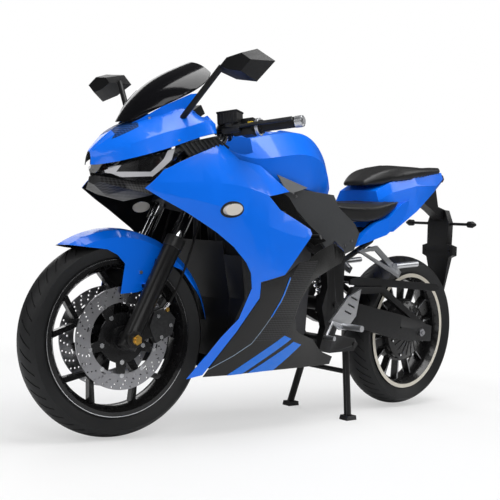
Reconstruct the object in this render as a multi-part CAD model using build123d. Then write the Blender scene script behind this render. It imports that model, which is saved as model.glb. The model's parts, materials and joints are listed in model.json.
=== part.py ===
"""Faired electric sport motorcycle with a hub motor, standing on its centre stand.

Millimetres. X points forward, Y to the rider's left, Z up. The origin lies on the
ground, half way between the two wheel contacts. The bars rest slightly to the right.
"""
import os
from math import cos, hypot, radians, sin

from build123d import *

os.makedirs("parts", exist_ok=True)

# Wheels and steering
WHEELBASE = 1386.0
FRONT_TYRE_R = 293.0
FRONT_TYRE_W = 110.0
REAR_TYRE_R = 299.0
REAR_TYRE_W = 137.0
BEAD_R = 222.0              # outer radius of both rims where the tyres sit
RIM_WALL = 6.0
FLANGE = 9.0                # rim flange above the tyre seat
RIM_SHARE = 0.36            # tyre seat to the centre plane, of the tyre width
TYRE_WALL = 13.0
RAKE = 25.0                 # steering axis behind the vertical, degrees
FORK_OFFSET = 38.0          # front axle ahead of the steering axis
FORK_SPACING = 200.0        # between the two fork legs
BARS_TURNED = 8.0           # bars turned to the rider's right at rest, degrees
REAR_WHEEL_LIFT = 6.0       # rear tyre off the ground on the centre stand

# Fork
LEG_R = 27.0
TUBE_R = 20.5
LEG_TOP = 330.0             # distances up the fork from the axle
CLAMP_LOW = 478.0
CLAMP_HIGH = 652.0
BAR_HEIGHT = 706.0
TUBE_TOP = 736.0
CLAMP_T = 26.0
TUBE_IN_LEG = 60.0
STEM_R = 15.0
HEAD_TUBE_R = 30.0
AXLE_R = 9.0
AXLE_BOSS_R = 24.0

# Brakes and hubs
DISC_R = 150.0
DISC_BORE_R = 104.0
DISC_T = 4.5
DISC_Y = 56.0               # middle of each front disc from the centre plane
DISC_SLOTS = 10
CARRIER_T = 5.0
FRONT_HUB_R = 34.0
HUB_HALF_W = 62.0
FRONT_SPOKES = 5
SPLIT_R = 138.0             # where each front spoke divides
MOTOR_R = 118.0
MOTOR_HALF_W = 52.0
MOTOR_BLADES = 14

# Panels
PANEL_T = 3.0
SEAT = 0.3                  # what a piece stands off the piece that carries it
RUN = 0.05                  # radial running fit in a bore

# Stand
STAND_PIVOT = (-262.0, 268.0)   # x, z
STAND_FOOT = (-240.0, 14.0)
STAND_HALF_TRACK = 142.0
STAND_TUBE_R = 13.0
STAND_TUBE_HALF = 112.0      # half length of its pivot tube
STAND_PIN_R = 9.0

# Charge port in the tank top
LID_R = 46.0
LID_T = 7.0
LID_X = 118.0
LID_Z = 978.0               # floor of its pocket
LID_GAP = 1.5

# Worked out from the sizes above
FRONT_X = WHEELBASE / 2
REAR_X = -WHEELBASE / 2
FRONT_AXLE = Vector(FRONT_X, 0, FRONT_TYRE_R)
REAR_AXLE = Vector(REAR_X, 0, REAR_TYRE_R + REAR_WHEEL_LIFT)
STEER_UP = Vector(-sin(radians(RAKE)), 0, cos(radians(RAKE)))
STEER_AHEAD = Vector(cos(radians(RAKE)), 0, sin(radians(RAKE)))
STEER_POINT = FRONT_AXLE - STEER_AHEAD * FORK_OFFSET
STEER_AXIS = Axis(STEER_POINT, STEER_UP)
LEG_Y = FORK_SPACING / 2


# General shapes

def polygon(points):
    """Flat face through 3-D points."""
    return Face(Wire.make_polygon([Vector(*p) for p in points], close=True))


def slab(outline, y_from, y_to):
    """Side-view outline of (x, z) points, made solid between two y planes."""
    face = polygon([(x, y_from, z) for x, z in outline])
    return Solid.extrude(face, Vector(0, y_to - y_from, 0))


def rod(start, end, radius, inner=0.0):
    """Straight round bar, or tube with an inner radius."""
    start, end = Vector(*start), Vector(*end)
    plane = Plane(origin=start, z_dir=end - start)
    bar = Solid.make_cylinder(radius, (end - start).length, plane)
    if inner:
        bar = bar - Solid.make_cylinder(inner, (end - start).length, plane)
    return bar


def cross_rod(x, z, half_length, radius, inner=0.0):
    """Round bar across the machine, centred on its middle plane."""
    return rod((x, -half_length, z), (x, half_length, z), radius, inner)


def bent_rod(points, radius):
    """Round bar through a list of points with ball-shaped corners."""
    bars = [rod(a, b, radius) for a, b in zip(points, points[1:])]
    balls = [Pos(*p) * Solid.make_sphere(radius, angle1=-90) for p in points[1:-1]]
    return fuse(bars + balls)


def fuse(shapes):
    """One shape out of many."""
    first, rest = shapes[0], shapes[1:]
    return first.fuse(*rest) if rest else first


def mirrored(shape):
    """The same shape on the rider's right."""
    return shape.mirror(Plane.XZ)


def spun(profile):
    """Ring from a closed (radius, y) outline, about the Y axis."""
    return Solid.revolve(polygon([(r, y, 0) for r, y in profile]), 360, Axis.Y)


def loft_x(stations, ruled=False):
    """Loft through a table of (x, [(y, z), ...]) closed sections."""
    wires = [
        Wire.make_polygon([Vector(x, y, z) for y, z in points], close=True)
        for x, points in stations
    ]
    return Solid.make_loft(wires, ruled)


def inset(points, wall):
    """Open (y, z) line moved inwards by a wall, with mitred corners."""
    normals = []
    for (y0, z0), (y1, z1) in zip(points, points[1:]):
        run = hypot(y1 - y0, z1 - z0)
        normals.append(((z1 - z0) / run, (y0 - y1) / run))
    moved = []
    for i, (y, z) in enumerate(points):
        before = normals[max(i - 1, 0)]
        after = normals[min(i, len(normals) - 1)]
        ny, nz = before[0] + after[0], before[1] + after[1]
        scale = 2 * wall / (ny * ny + nz * nz)
        moved.append((y + ny * scale, z + nz * scale))
    return moved


def skin(stations, wall, ruled=False):
    """Panel wall lofted along X from a table of open outer lines, top to bottom."""
    closed = [(x, line + inset(line, wall)[::-1]) for x, line in stations]
    return loft_x(closed, ruled)


def inside(stations, depth, ruled=False):
    """Whole room between a left panel and its twin, a depth in from the outer lines."""
    table = []
    for x, line in stations:
        half = [(0, line[0][1] - depth)] + [p for p in inset(line, depth) if p[0] > 0] + [(0, line[-1][1])]
        table.append((x, both_sides(half)))
    return loft_x(table, ruled)


def both_sides(line):
    """Closed section from a half line that runs from top centre to bottom centre."""
    other = [(-y, z) for y, z in reversed(line) if y > 0]
    return line + other


def steered(shape):
    """Turned to where the bars rest."""
    return shape.rotate(STEER_AXIS, -BARS_TURNED)


def fork_point(up, y=0.0, ahead=0.0):
    """Place on the fork, by its distance up from the axle and ahead of the legs."""
    p = FRONT_AXLE + STEER_UP * up + STEER_AHEAD * ahead
    return (p.X, y, p.Z)


def at_front_wheel(shape):
    """From the origin to the front axle, turned with the bars."""
    return steered(Pos(*FRONT_AXLE) * shape)


def at_rear_wheel(shape):
    """From the origin to the rear axle."""
    return Pos(*REAR_AXLE) * shape


# Wheels

def tyre(outer_r, width):
    """Tyre with a rounded crown, hollow over the rim."""
    half, bead_y = width / 2, width * RIM_SHARE - SEAT
    shoulder_r = outer_r - 0.36 * (outer_r - BEAD_R)
    low, lip_top = BEAD_R + SEAT, BEAD_R + FLANGE + 3
    crown = Edge.make_three_point_arc((shoulder_r, half, 0), (outer_r, 0, 0), (shoulder_r, -half, 0))
    well = Edge.make_three_point_arc(
        (shoulder_r, TYRE_WALL - half, 0), (outer_r - TYRE_WALL, 0, 0), (shoulder_r, half - TYRE_WALL, 0))
    corners = [(shoulder_r, -half), (lip_top, -bead_y), (low, -bead_y),
               (low, TYRE_WALL - bead_y), (shoulder_r, TYRE_WALL - half)]
    sides = [Edge.make_line((*a, 0), (*b, 0)) for a, b in zip(corners, corners[1:])]
    twins = [(r, -y) for r, y in corners]
    sides += [Edge.make_line((*a, 0), (*b, 0)) for a, b in zip(twins, twins[1:])]
    return Solid.revolve(Face(Wire([crown, well] + sides)), 360, Axis.Y)


def rim_barrel(width):
    """Rim with two flanges and a dropped well."""
    bead_y = width * RIM_SHARE
    lip, edge = bead_y + 5, BEAD_R + FLANGE
    under, well = BEAD_R - RIM_WALL, BEAD_R - 22
    half = [
        (edge, lip), (edge, bead_y), (BEAD_R, bead_y), (BEAD_R, bead_y - 16),
        (well + RIM_WALL, bead_y - 26),
    ]
    inside = [(well, -lip + 26), (well, lip - 26), (under, lip)]
    return spun(half + [(r, -y) for r, y in reversed(half)] + [(under, -lip)] + inside)


def split_spoke():
    """One Y-shaped spoke, pointing up from the hub, that splits outside the disc."""
    barrel_r = BEAD_R - 19
    stem = [(-16, FRONT_HUB_R - 6), (16, FRONT_HUB_R - 6), (9, SPLIT_R + 8), (-9, SPLIT_R + 8)]
    spoke = slab(stem, -15, 15)
    for side in (-1, 1):
        branch = [
            (side * -5, SPLIT_R - 8), (side * 9, SPLIT_R - 12),
            (side * 68, barrel_r * 0.945), (side * 50, barrel_r * 0.975),
        ]
        spoke = spoke + slab(branch, -12, 12)
    return spoke


def front_rim():
    """Five split spokes, hub, and the two disc carriers on its ends."""
    bore = AXLE_R + RUN
    hub = spun([(bore, -HUB_HALF_W), (FRONT_HUB_R, -HUB_HALF_W), (FRONT_HUB_R + 6, -40),
                (FRONT_HUB_R, 0), (FRONT_HUB_R + 6, 40), (FRONT_HUB_R, HUB_HALF_W), (bore, HUB_HALF_W)])
    pieces = [rim_barrel(FRONT_TYRE_W), hub]
    for i in range(FRONT_SPOKES):
        pieces.append(split_spoke().rotate(Axis.Y, i * 360 / FRONT_SPOKES))
    for side in (-1, 1):
        inner = DISC_Y - DISC_T / 2 - CARRIER_T
        plate = spun([(FRONT_HUB_R - 4, side * inner), (74, side * inner),
                      (74, side * (inner + CARRIER_T)), (FRONT_HUB_R - 4, side * (inner + CARRIER_T))])
        pieces.append(plate)
        for i in range(FRONT_SPOKES):
            arm = slab([(-17, 66), (17, 66), (11, DISC_BORE_R + 9), (-11, DISC_BORE_R + 9)],
                       side * inner, side * (inner + CARRIER_T))
            pieces.append(arm.rotate(Axis.Y, 36 + i * 360 / FRONT_SPOKES))
    return fuse(pieces)


def front_discs():
    """Two floating brake rings with slots between their drillings."""
    ring = spun([(DISC_BORE_R, -DISC_T / 2), (DISC_R, -DISC_T / 2),
                 (DISC_R, DISC_T / 2), (DISC_BORE_R, DISC_T / 2)])
    slot = slab([(-3, DISC_BORE_R + 16), (3, DISC_BORE_R + 16), (3, DISC_R - 12), (-3, DISC_R - 12)],
                -DISC_T, DISC_T)
    slots = [slot.rotate(Axis.Y, 18 + i * 360 / DISC_SLOTS) for i in range(DISC_SLOTS)]
    ring = ring.cut(*slots)
    return Compound([Pos(0, side * DISC_Y, 0) * ring for side in (-1, 1)])


def hub_motor():
    """Drum of the wheel motor with domed covers, bored for the fixed axle."""
    bore = AXLE_R + RUN
    return spun([
        (bore, -74), (30, -74), (34, -64), (MOTOR_R - 16, -MOTOR_HALF_W),
        (MOTOR_R, -MOTOR_HALF_W + 10), (MOTOR_R, MOTOR_HALF_W - 10),
        (MOTOR_R - 16, MOTOR_HALF_W), (34, 64), (30, 74), (bore, 74),
    ])


def rear_rim():
    """Rim carried on a ring round the motor by thin radial blades."""
    inner = MOTOR_R + SEAT
    ring = spun([(inner, -16), (inner + 9, -16), (inner + 9, 16), (inner, 16)])
    pieces = [rim_barrel(REAR_TYRE_W), ring]
    barrel_r = BEAD_R - 19
    for i in range(MOTOR_BLADES):
        blade = slab([(-4, inner + 4), (4, inner + 4), (9, barrel_r), (-1, barrel_r)], -15, 15)
        pieces.append(blade.rotate(Axis.Y, i * 360 / MOTOR_BLADES))
    return fuse(pieces)


# Front end, modelled straight ahead

def on_legs(shape):
    """A shape on the left leg, and its twin on the right."""
    return Compound([shape, mirrored(shape)])


def fork_legs():
    """Lower legs, bored for the chrome tubes and for the axle."""
    foot, top = fork_point(-28, LEG_Y), fork_point(LEG_TOP, LEG_Y)
    leg = rod(foot, top, LEG_R)
    collar = rod(fork_point(LEG_TOP - 34, LEG_Y), top, LEG_R + 3)
    boss = rod((FRONT_X, LEG_Y - LEG_R - 2, FRONT_TYRE_R), (FRONT_X, LEG_Y + LEG_R + 2, FRONT_TYRE_R), AXLE_BOSS_R)
    leg = fuse([leg, collar, boss])
    leg = leg - rod(fork_point(LEG_TOP - TUBE_IN_LEG, LEG_Y), fork_point(LEG_TOP + 1, LEG_Y), TUBE_R + SEAT)
    leg = leg - rod((FRONT_X, 0, FRONT_TYRE_R), (FRONT_X, 2 * LEG_Y, FRONT_TYRE_R), AXLE_R + RUN)
    return on_legs(leg)


def fork_tubes():
    """Chrome upper tubes with their caps."""
    tube = rod(fork_point(LEG_TOP - TUBE_IN_LEG + SEAT, LEG_Y), fork_point(TUBE_TOP, LEG_Y), TUBE_R)
    cap = rod(fork_point(TUBE_TOP, LEG_Y), fork_point(TUBE_TOP + 9, LEG_Y), 12)
    return on_legs(tube + cap)


def clamp_plate(up, thickness):
    """One triple clamp, bored for both fork tubes."""
    plane = Plane(origin=Vector(*fork_point(up - thickness / 2)), x_dir=STEER_AHEAD, z_dir=STEER_UP)
    half = LEG_Y + TUBE_R + 4
    outline = [(-FORK_OFFSET - 30, -42), (-24, -half), (20, -half), (28, -60),
               (28, 60), (20, half), (-24, half), (-FORK_OFFSET - 30, 42)]
    face = Face(Wire.make_polygon([plane.from_local_coords(Vector(a, b, 0)) for a, b in outline], close=True))
    plate = Solid.extrude(face, STEER_UP * thickness)
    for side in (-1, 1):
        low = fork_point(up - thickness, side * LEG_Y)
        high = fork_point(up + thickness, side * LEG_Y)
        plate = plate - rod(low, high, TUBE_R + RUN)
    return plate


def triple_clamps():
    """Both clamps and the stem between them."""
    stem = rod(fork_point(CLAMP_LOW, 0, -FORK_OFFSET), fork_point(CLAMP_HIGH + 22, 0, -FORK_OFFSET), STEM_R)
    nut = rod(fork_point(CLAMP_HIGH + 10, 0, -FORK_OFFSET), fork_point(CLAMP_HIGH + 26, 0, -FORK_OFFSET), 19)
    return fuse([clamp_plate(CLAMP_LOW, CLAMP_T + 6), clamp_plate(CLAMP_HIGH, CLAMP_T - 4), stem, nut])


GRIP_END = Vector(284, 320, 952)
BAR_START = Vector(*fork_point(BAR_HEIGHT, LEG_Y + 22, 0))
BAR_ALONG = (GRIP_END - BAR_START).normalized()
BAR_LENGTH = (GRIP_END - BAR_START).length
BAR_R = 11.0
GRIP_R = 16.5
GRIP_LENGTH = 118.0


def on_bar(distance):
    """Point on the left bar, by its distance from the clamp."""
    return tuple(BAR_START + BAR_ALONG * distance)


def clip_ons():
    """Bars clamped round the fork tubes above the upper clamp, with end weights."""
    ring = rod(fork_point(BAR_HEIGHT - 15, LEG_Y), fork_point(BAR_HEIGHT + 15, LEG_Y), TUBE_R + 9)
    bar = rod(on_bar(0), on_bar(BAR_LENGTH), BAR_R)
    root = rod(tuple(BAR_START - BAR_ALONG * 6), on_bar(12), BAR_R + 6)
    weight = rod(on_bar(BAR_LENGTH), on_bar(BAR_LENGTH + 16), GRIP_R)
    left = fuse([ring, bar, root, weight])
    left = left - rod(fork_point(BAR_HEIGHT - 60, LEG_Y), fork_point(BAR_HEIGHT + 60, LEG_Y), TUBE_R + RUN)
    return on_legs(left)


def grips():
    """Ribbed hand grips."""
    grip = rod(on_bar(BAR_LENGTH - GRIP_LENGTH), on_bar(BAR_LENGTH - SEAT), GRIP_R, BAR_R + RUN)
    flange = rod(on_bar(BAR_LENGTH - GRIP_LENGTH), on_bar(BAR_LENGTH - GRIP_LENGTH + 6), GRIP_R + 5, BAR_R + RUN)
    return on_legs(grip + flange)


def bar_controls():
    """Switch blocks, brake cylinders and levers on both bars."""
    grip_start = BAR_LENGTH - GRIP_LENGTH
    across = Vector(BAR_ALONG.Y, -BAR_ALONG.X, 0).normalized()
    block = rod(on_bar(grip_start - 56), on_bar(grip_start - 14), 25)
    collar = rod(on_bar(grip_start - 90), on_bar(grip_start - 62), 19)
    ahead = Vector(*on_bar(grip_start - 76)) + across * 34
    body = rod(tuple(ahead - BAR_ALONG * 34), tuple(ahead + BAR_ALONG * 22), 15)
    neck = rod(on_bar(grip_start - 77), tuple(ahead), 11)
    cup_base = ahead - BAR_ALONG * 14
    cup = rod(tuple(cup_base), tuple(cup_base + Vector(0, 0, 42)), 22)
    pivot = ahead + BAR_ALONG * 30 + across * 4
    tip = Vector(*on_bar(BAR_LENGTH + 2)) + across * 52
    lever = bent_rod([tuple(pivot - BAR_ALONG * 14), tuple(pivot + BAR_ALONG * 40 + across * 10), tuple(tip)], 6)
    left = fuse([block, collar, body, neck, cup, lever])
    left = left - rod(on_bar(-40), on_bar(BAR_LENGTH + 20), BAR_R + RUN)
    clamp_low, clamp_high = fork_point(BAR_HEIGHT - 90, LEG_Y), fork_point(BAR_HEIGHT + 90, LEG_Y)
    left = left - rod(clamp_low, clamp_high, TUBE_R + 9 + SEAT)
    left = left - rod(on_bar(-20), on_bar(12 + SEAT), BAR_R + 6 + SEAT)
    return on_legs(left)


def front_axle():
    """Axle through both legs, with hub spacers and a nut at each end."""
    leg_in, leg_out = LEG_Y - LEG_R - 2 - SEAT, LEG_Y + LEG_R + 2
    pieces = [cross_rod(FRONT_X, FRONT_TYRE_R, leg_out + 12, AXLE_R)]
    # from y, to y, radius
    for y0, y1, r in ((HUB_HALF_W + 0.5, leg_in, 15), (leg_out, leg_out + 9, 13)):
        for side in (-1, 1):
            pieces.append(rod((FRONT_X, side * y0, FRONT_TYRE_R), (FRONT_X, side * y1, FRONT_TYRE_R), r))
    return fuse(pieces)


FENDER_T = 2.5
FENDER_R = FRONT_TYRE_R + 21
FENDER_HALF_W = 64.0
FENDER_SHIFT = (8.0, 0.0, 8.0)  # centre of the arch from the axle


def front_fender():
    """Mudguard arched over the tyre, with flaps towards the fork legs."""
    outer = [(FENDER_R - 196, FENDER_HALF_W + 3), (FENDER_R - 30, FENDER_HALF_W),
             (FENDER_R - 9, FENDER_HALF_W - 20), (FENDER_R, 0)]
    outer = outer + [(r, -y) for r, y in outer[-2::-1]]
    inner = [(r - FENDER_T, y * (1 - FENDER_T / FENDER_HALF_W)) for r, y in reversed(outer)]
    arch = Pos(*FENDER_SHIFT) * spun(outer + inner)
    # Side view about the axle: nose, lower rim of the arch, fork flap, and rear end
    keep = [(200, 262), (131, 257), (67, 254), (34, 240), (8, 215), (19, 128), (-36, 134), (-72, 150),
            (-92, 236), (-186, 206), (-262, 120), (-290, 56), (-380, 56), (-360, 420), (200, 420)]
    arch = Pos(*FRONT_AXLE) * (arch & slab(keep, -120, 120))
    boss = rod(fork_point(165, FENDER_HALF_W - 1, 14), fork_point(165, LEG_Y, 14), 9)
    boss = boss - rod(fork_point(0, LEG_Y), fork_point(LEG_TOP, LEG_Y), LEG_R + SEAT)
    return fuse([arch, boss, mirrored(boss)])


def brake_calipers():
    """Calipers straddling the discs behind the legs, on lugs from the fork."""
    body = slab([(-150, 12), (-96, -14), (-72, 34), (-86, 78), (-126, 92), (-160, 60)],
                DISC_Y - 24, DISC_Y + 26)
    gap = DISC_T / 2 + 2.5
    groove = spun([(DISC_BORE_R - 14, -gap), (DISC_R + 5, -gap), (DISC_R + 5, gap), (DISC_BORE_R - 14, gap)])
    room_y = DISC_Y + DISC_T / 2 + 1
    wheel_room = spun([(0, 0), (DISC_BORE_R + 14, 0), (DISC_BORE_R + 14, room_y), (0, room_y)])
    lug = slab([(-100, 6), (-24, -10), (-10, 70), (-80, 70)], DISC_Y + 12, DISC_Y + 22)
    left = Pos(*FRONT_AXLE) * (body - Pos(0, DISC_Y, 0) * groove - wheel_room + lug)
    left = left - rod(fork_point(-60, LEG_Y), fork_point(LEG_TOP, LEG_Y), LEG_R + SEAT)
    left = left - cross_rod(FRONT_X, FRONT_TYRE_R, 2 * LEG_Y, AXLE_BOSS_R + SEAT)
    return on_legs(left)


# Frame and running gear

FRAME_Y = (102.0, 130.0)        # inner and outer face of the side plates
PIVOT = (-139.0, 409.0)         # swingarm pivot x, z
PIVOT_R = 10.0
HEAD_LOW = CLAMP_LOW + CLAMP_T / 2 + 6
HEAD_HIGH = CLAMP_HIGH - CLAMP_T / 2 - 3


CRADLE_R = 13.0
CRADLE = [(396, 26, 742), (332, 66, 300), (306, 92, 252), (-96, 112, 252)]


def side_spar(grown):
    """Left spar of the frame, grown by a clearance."""
    # x, inner y, outer y, low z, high z
    table = [(416, 12, 34, 736, 800), (330, 66, 88, 690, 760), (150, 100, 126, 650, 712), (-100, 102, 130, 560, 622)]
    g = grown
    return loft_x([(x, [(y0 - g, z0 - g), (y1 + g, z0 - g), (y1 + g, z1 + g), (y0 - g, z1 + g)])
                   for x, y0, y1, z0, z1 in table], True)


def spar_pair():
    """Room for both spars."""
    return [side_spar(SEAT), mirrored(side_spar(SEAT))]


# Pads (x, z) that reach from the frame to the side panels and to the lower panels
SIDE_PADS = [(250, 700), (60, 640)]
LOWER_PADS = [(250, 252), (-40, 252)]


def frame():
    """Twin spars from the head tube to the pivot plates, cross tubes, cradle and brackets."""
    head = rod(fork_point(HEAD_LOW, 0, -FORK_OFFSET), fork_point(HEAD_HIGH, 0, -FORK_OFFSET), HEAD_TUBE_R)
    plate = slab([(-172, 612), (-60, 622), (-92, 470), (-70, 400), (-96, 330), (-72, 248),
                  (-128, 244), (-160, 330), (-190, 400), (-178, 470)], *FRAME_Y)
    px, pz = STAND_PIVOT
    stand_lug = slab([(-92, 246), (-128, 240), (px, pz - 22), (px - 20, pz), (px, pz + 22), (-148, 306)],
                     STAND_TUBE_HALF + SEAT, FRAME_Y[1])
    left = [side_spar(0), plate, stand_lug, bent_rod(CRADLE, CRADLE_R)]
    for x in (70, 250):
        left.append(slab([(x, 680), (x + 40, 680), (x + 40, 840), (x, 840)], 98, 112))
    reach = inside(FAIRING, PANEL_T + SEAT)
    for x, z in SIDE_PADS + LOWER_PADS:
        left.append(rod((x, 106, z), (x, 260, z), 8) & reach)
    # x, z, half length, radius
    cross = [(-108, 590, 108, 16), (-100, 262, 108, 14), (20, 275.7, 104, 16), (200, 275.7, 104, 16),
             (px, pz, FRAME_Y[1] + 4, STAND_PIN_R)]
    across = [cross_rod(*row) for row in cross]
    whole = fuse([head] + left + [mirrored(s) for s in left] + across)
    whole = whole + cross_rod(PIVOT[0], PIVOT[1], FRAME_Y[1] + 6, PIVOT_R)
    stem_low, stem_high = fork_point(CLAMP_LOW, 0, -FORK_OFFSET), fork_point(CLAMP_HIGH, 0, -FORK_OFFSET)
    whole = whole - rod(stem_low, stem_high, STEM_R + RUN)
    return whole - Pos(0, 0, -SEAT) * tank_shell()


# Left rails (x, y, z) of the subframe
RAIL_R = 10.0
RAIL_Y = FRAME_Y[0] - RAIL_R - SEAT
UPPER_RAIL = [(-106, RAIL_Y, 636), (-330, 84, 688), (-480, 76, 770), (-770, 40, 896)]
LOWER_RAIL = [(-176, RAIL_Y, 548), (-360, 90, 648), (-440, 79, 735)]


def subframe():
    """Tubes that carry the seats and the tail."""
    left = bent_rod(UPPER_RAIL, RAIL_R) + bent_rod(LOWER_RAIL, RAIL_R)
    bridges = [cross_rod(x, z, y, 9) for x, z, y in ((-330, 688, 84), (-740, 883, 44))]
    return fuse([left, mirrored(left)] + bridges)


def battery_block():
    """The traction battery: one plain case between the spars."""
    case = Solid.make_box(330, 150, 356, Plane(origin=(-56, -75, 292)))
    return case.chamfer(14, None, case.edges().filter_by(Axis.Y))


ARM_Y = (84.0, 112.0)
SPOOL_X, SPOOL_Z = -560.0, 325.0    # threaded holes for paddock stand spools
SPOOL_R = 4.0
SPOOL_DEPTH = 20.0


def swingarm():
    """Box-section arms with an arched truss over each, bridged ahead of the tyre."""
    # x, inner y, outer y, low z, high z of the left arm
    arm_table = [(-112, 62, 96, 378, 440), (-215, 62, 97, 352, 436), (-300, 84, 112, 326, 414),
                 (-560, 84, 112, 276, 374), (-768, 84, 112, 268, 330)]
    arm = loft_x([(x, [(y0, z0), (y1, z0), (y1, z1), (y0, z1)]) for x, y0, y1, z0, z1 in arm_table], True)
    truss = slab([(-232, 424), (-262, 474), (-440, 480), (-716, 344), (-690, 330), (-436, 456),
                  (-284, 448), (-262, 410)], 90, 108)
    left = arm + truss
    bridge = cross_rod(-262, 404, 70, 24)
    tube = cross_rod(PIVOT[0], PIVOT[1], 96, 24)
    whole = fuse([left, mirrored(left), bridge, tube])
    for side in (-1, 1):
        depth = side * (ARM_Y[1] - SPOOL_DEPTH)
        whole = whole - rod((SPOOL_X, depth, SPOOL_Z), (SPOOL_X, side * 140, SPOOL_Z), SPOOL_R)
    whole = whole - cross_rod(PIVOT[0], PIVOT[1], 140, PIVOT_R + SEAT)
    return whole - cross_rod(REAR_X, REAR_AXLE.Z, 140, AXLE_R + RUN)


def rear_axle():
    """Fixed axle of the hub motor, with its nuts."""
    axle = cross_rod(REAR_X, REAR_AXLE.Z, ARM_Y[1] + 16, AXLE_R)
    nuts = [rod((REAR_X, s * ARM_Y[1], REAR_AXLE.Z), (REAR_X, s * (ARM_Y[1] + 9), REAR_AXLE.Z), 15) for s in (-1, 1)]
    spacers = [rod((REAR_X, s * (74 + 0.5), REAR_AXLE.Z), (REAR_X, s * ARM_Y[0], REAR_AXLE.Z), 14) for s in (-1, 1)]
    return fuse([axle] + nuts + spacers)


def rear_hugger():
    """Thin mudguard: a fin beside the tyre on each truss, joined ahead of it."""
    fin = slab([(-250, 480.3), (-440, 480.3), (-800, 470), (-826, 484), (-800, 500), (-300, 512), (-250, 500)], 92, 100)
    roof = slab([(-262, 484), (-430, 484), (-430, 488), (-262, 488)], -94, 94)
    return fuse([fin, mirrored(fin), roof])


def rear_shock():
    """Damper and spring between the swingarm bridge and the frame."""
    low, high = Vector(-262, 0, 404), Vector(-108, 0, 590)
    along = (high - low).normalized()
    body = rod(tuple(low), tuple(high), 14)
    spring = rod(tuple(low + along * 62), tuple(high - along * 44), 29)
    return body + spring - cross_rod(low.X, low.Z, 40, 24 + SEAT) - cross_rod(high.X, high.Z, 40, 16 + SEAT)


def centre_stand():
    """Two splayed legs on a cross tube, folding up to the rear."""
    px, pz = STAND_PIVOT
    fx, fz = STAND_FOOT
    leg = bent_rod([(px, 88, pz), (fx, STAND_HALF_TRACK, fz)], STAND_TUBE_R)
    foot = slab([(fx - 30, 0), (fx + 24, 0), (fx + 20, 16), (fx - 26, 16)], STAND_HALF_TRACK - 18, STAND_HALF_TRACK + 18)
    brace = cross_rod(px + (fx - px) * 0.4, pz + (fz - pz) * 0.4, 110, 9)
    left = leg + foot
    whole = fuse([cross_rod(px, pz, STAND_TUBE_HALF, 17), left, mirrored(left), brace])
    return whole - cross_rod(px, pz, STAND_TUBE_HALF + 10, STAND_PIN_R + RUN)


# Bodywork

# Outer surface of the left fairing, from its top edge down. Each station is x and the
# (y, z) of: top edge, upper crease, main crease, widest line, tuck, belly edge, keel.
FAIRING = [
    (748, [(160, 784), (163, 768), (164, 748), (161, 731), (152, 700), (170, 480), (150, 180)]),
    (640, [(167, 812), (178, 784), (189, 755), (194, 715), (188, 668), (195, 480), (155, 180)]),
    (475, [(151, 888), (182, 842), (217, 768), (231, 690), (222, 600), (213, 480), (163, 180)]),
    (300, [(161, 844), (190, 802), (227, 745), (241, 650), (236, 530), (230, 460), (172, 184)]),
    (120, [(166, 768), (190, 730), (219, 684), (230, 630), (225, 520), (212, 430), (175, 192)]),
    (-140, [(150, 700), (170, 650), (188, 600), (198, 540), (193, 450), (183, 350), (160, 208)]),
]

SIGNAL_X, SIGNAL_Z = 472.0, 694.0

# Side views (x, z) that the fairing surface is cut to
SIDE_PANEL = [
    (744, 729), (686, 789), (577, 842), (463, 894), (411, 850), (307, 845), (183, 776), (322, 748),
    (273, 710), (217, 692), (122, 661), (114, 646), (235, 510), (333, 484), (326, 435), (388, 327),
    (444, 249), (484, 196), (540, 186), (484, 255), (441, 312), (389, 369), (364, 466), (375, 510),
    (397, 540), (447, 582), (517, 624), (568, 649), (618, 673), (685, 701)]
LOWER_PANEL = [
    (331, 481), (235, 507), (168, 553), (122, 560), (74, 590), (-28, 634), (-77, 604), (-70, 560),
    (78, 496), (133, 429), (145, 370), (121, 330), (86, 316), (17, 298), (-35, 255), (-104, 234),
    (-92, 208), (232, 200), (376, 192), (480, 190), (442, 247), (386, 326), (324, 434)]


def side_fairing():
    """Left painted side panel with its band down to the belly."""
    panel = skin(FAIRING, PANEL_T) & slab(SIDE_PANEL, 20, 300)
    return panel - signal_oval(SEAT, 150, 300)


def lower_fairing():
    """Left dark lower panel, from the cockpit side to the belly tail."""
    return skin(FAIRING, PANEL_T) & slab(LOWER_PANEL, 20, 300)


def belly_pan():
    """Floor between the two lower panels."""
    # x, half width, low z
    table = [(384, 220, 199), (120, 220, 206), (-92, 220, 216)]
    lines = [(x, both_sides([(0, z + PANEL_T), (w, z + PANEL_T), (w, z), (0, z)])) for x, w, z in table]
    return loft_x(lines, True) & inside(FAIRING, PANEL_T + SEAT)


# Outer surface of the left half of the cowl, from the centre down to its lower edge
COWL = [
    (832, [(-2, 824), (6, 823), (13, 806), (15, 786)]),
    (812, [(-2, 847), (20, 843), (40, 818), (46, 790)]),
    (780, [(-2, 880), (34, 874), (76, 838), (92, 803)]),
    (745, [(-2, 908), (48, 900), (104, 858), (124, 818)]),
    (700, [(-2, 934), (62, 926), (128, 882), (152, 838)]),
    (640, [(-2, 958), (90, 962), (150, 908), (166, 864)]),
    (560, [(-2, 972), (112, 982), (158, 940), (168, 898)]),
    (497, [(-2, 966), (112, 974), (152, 946), (162, 914)]),
]


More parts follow.
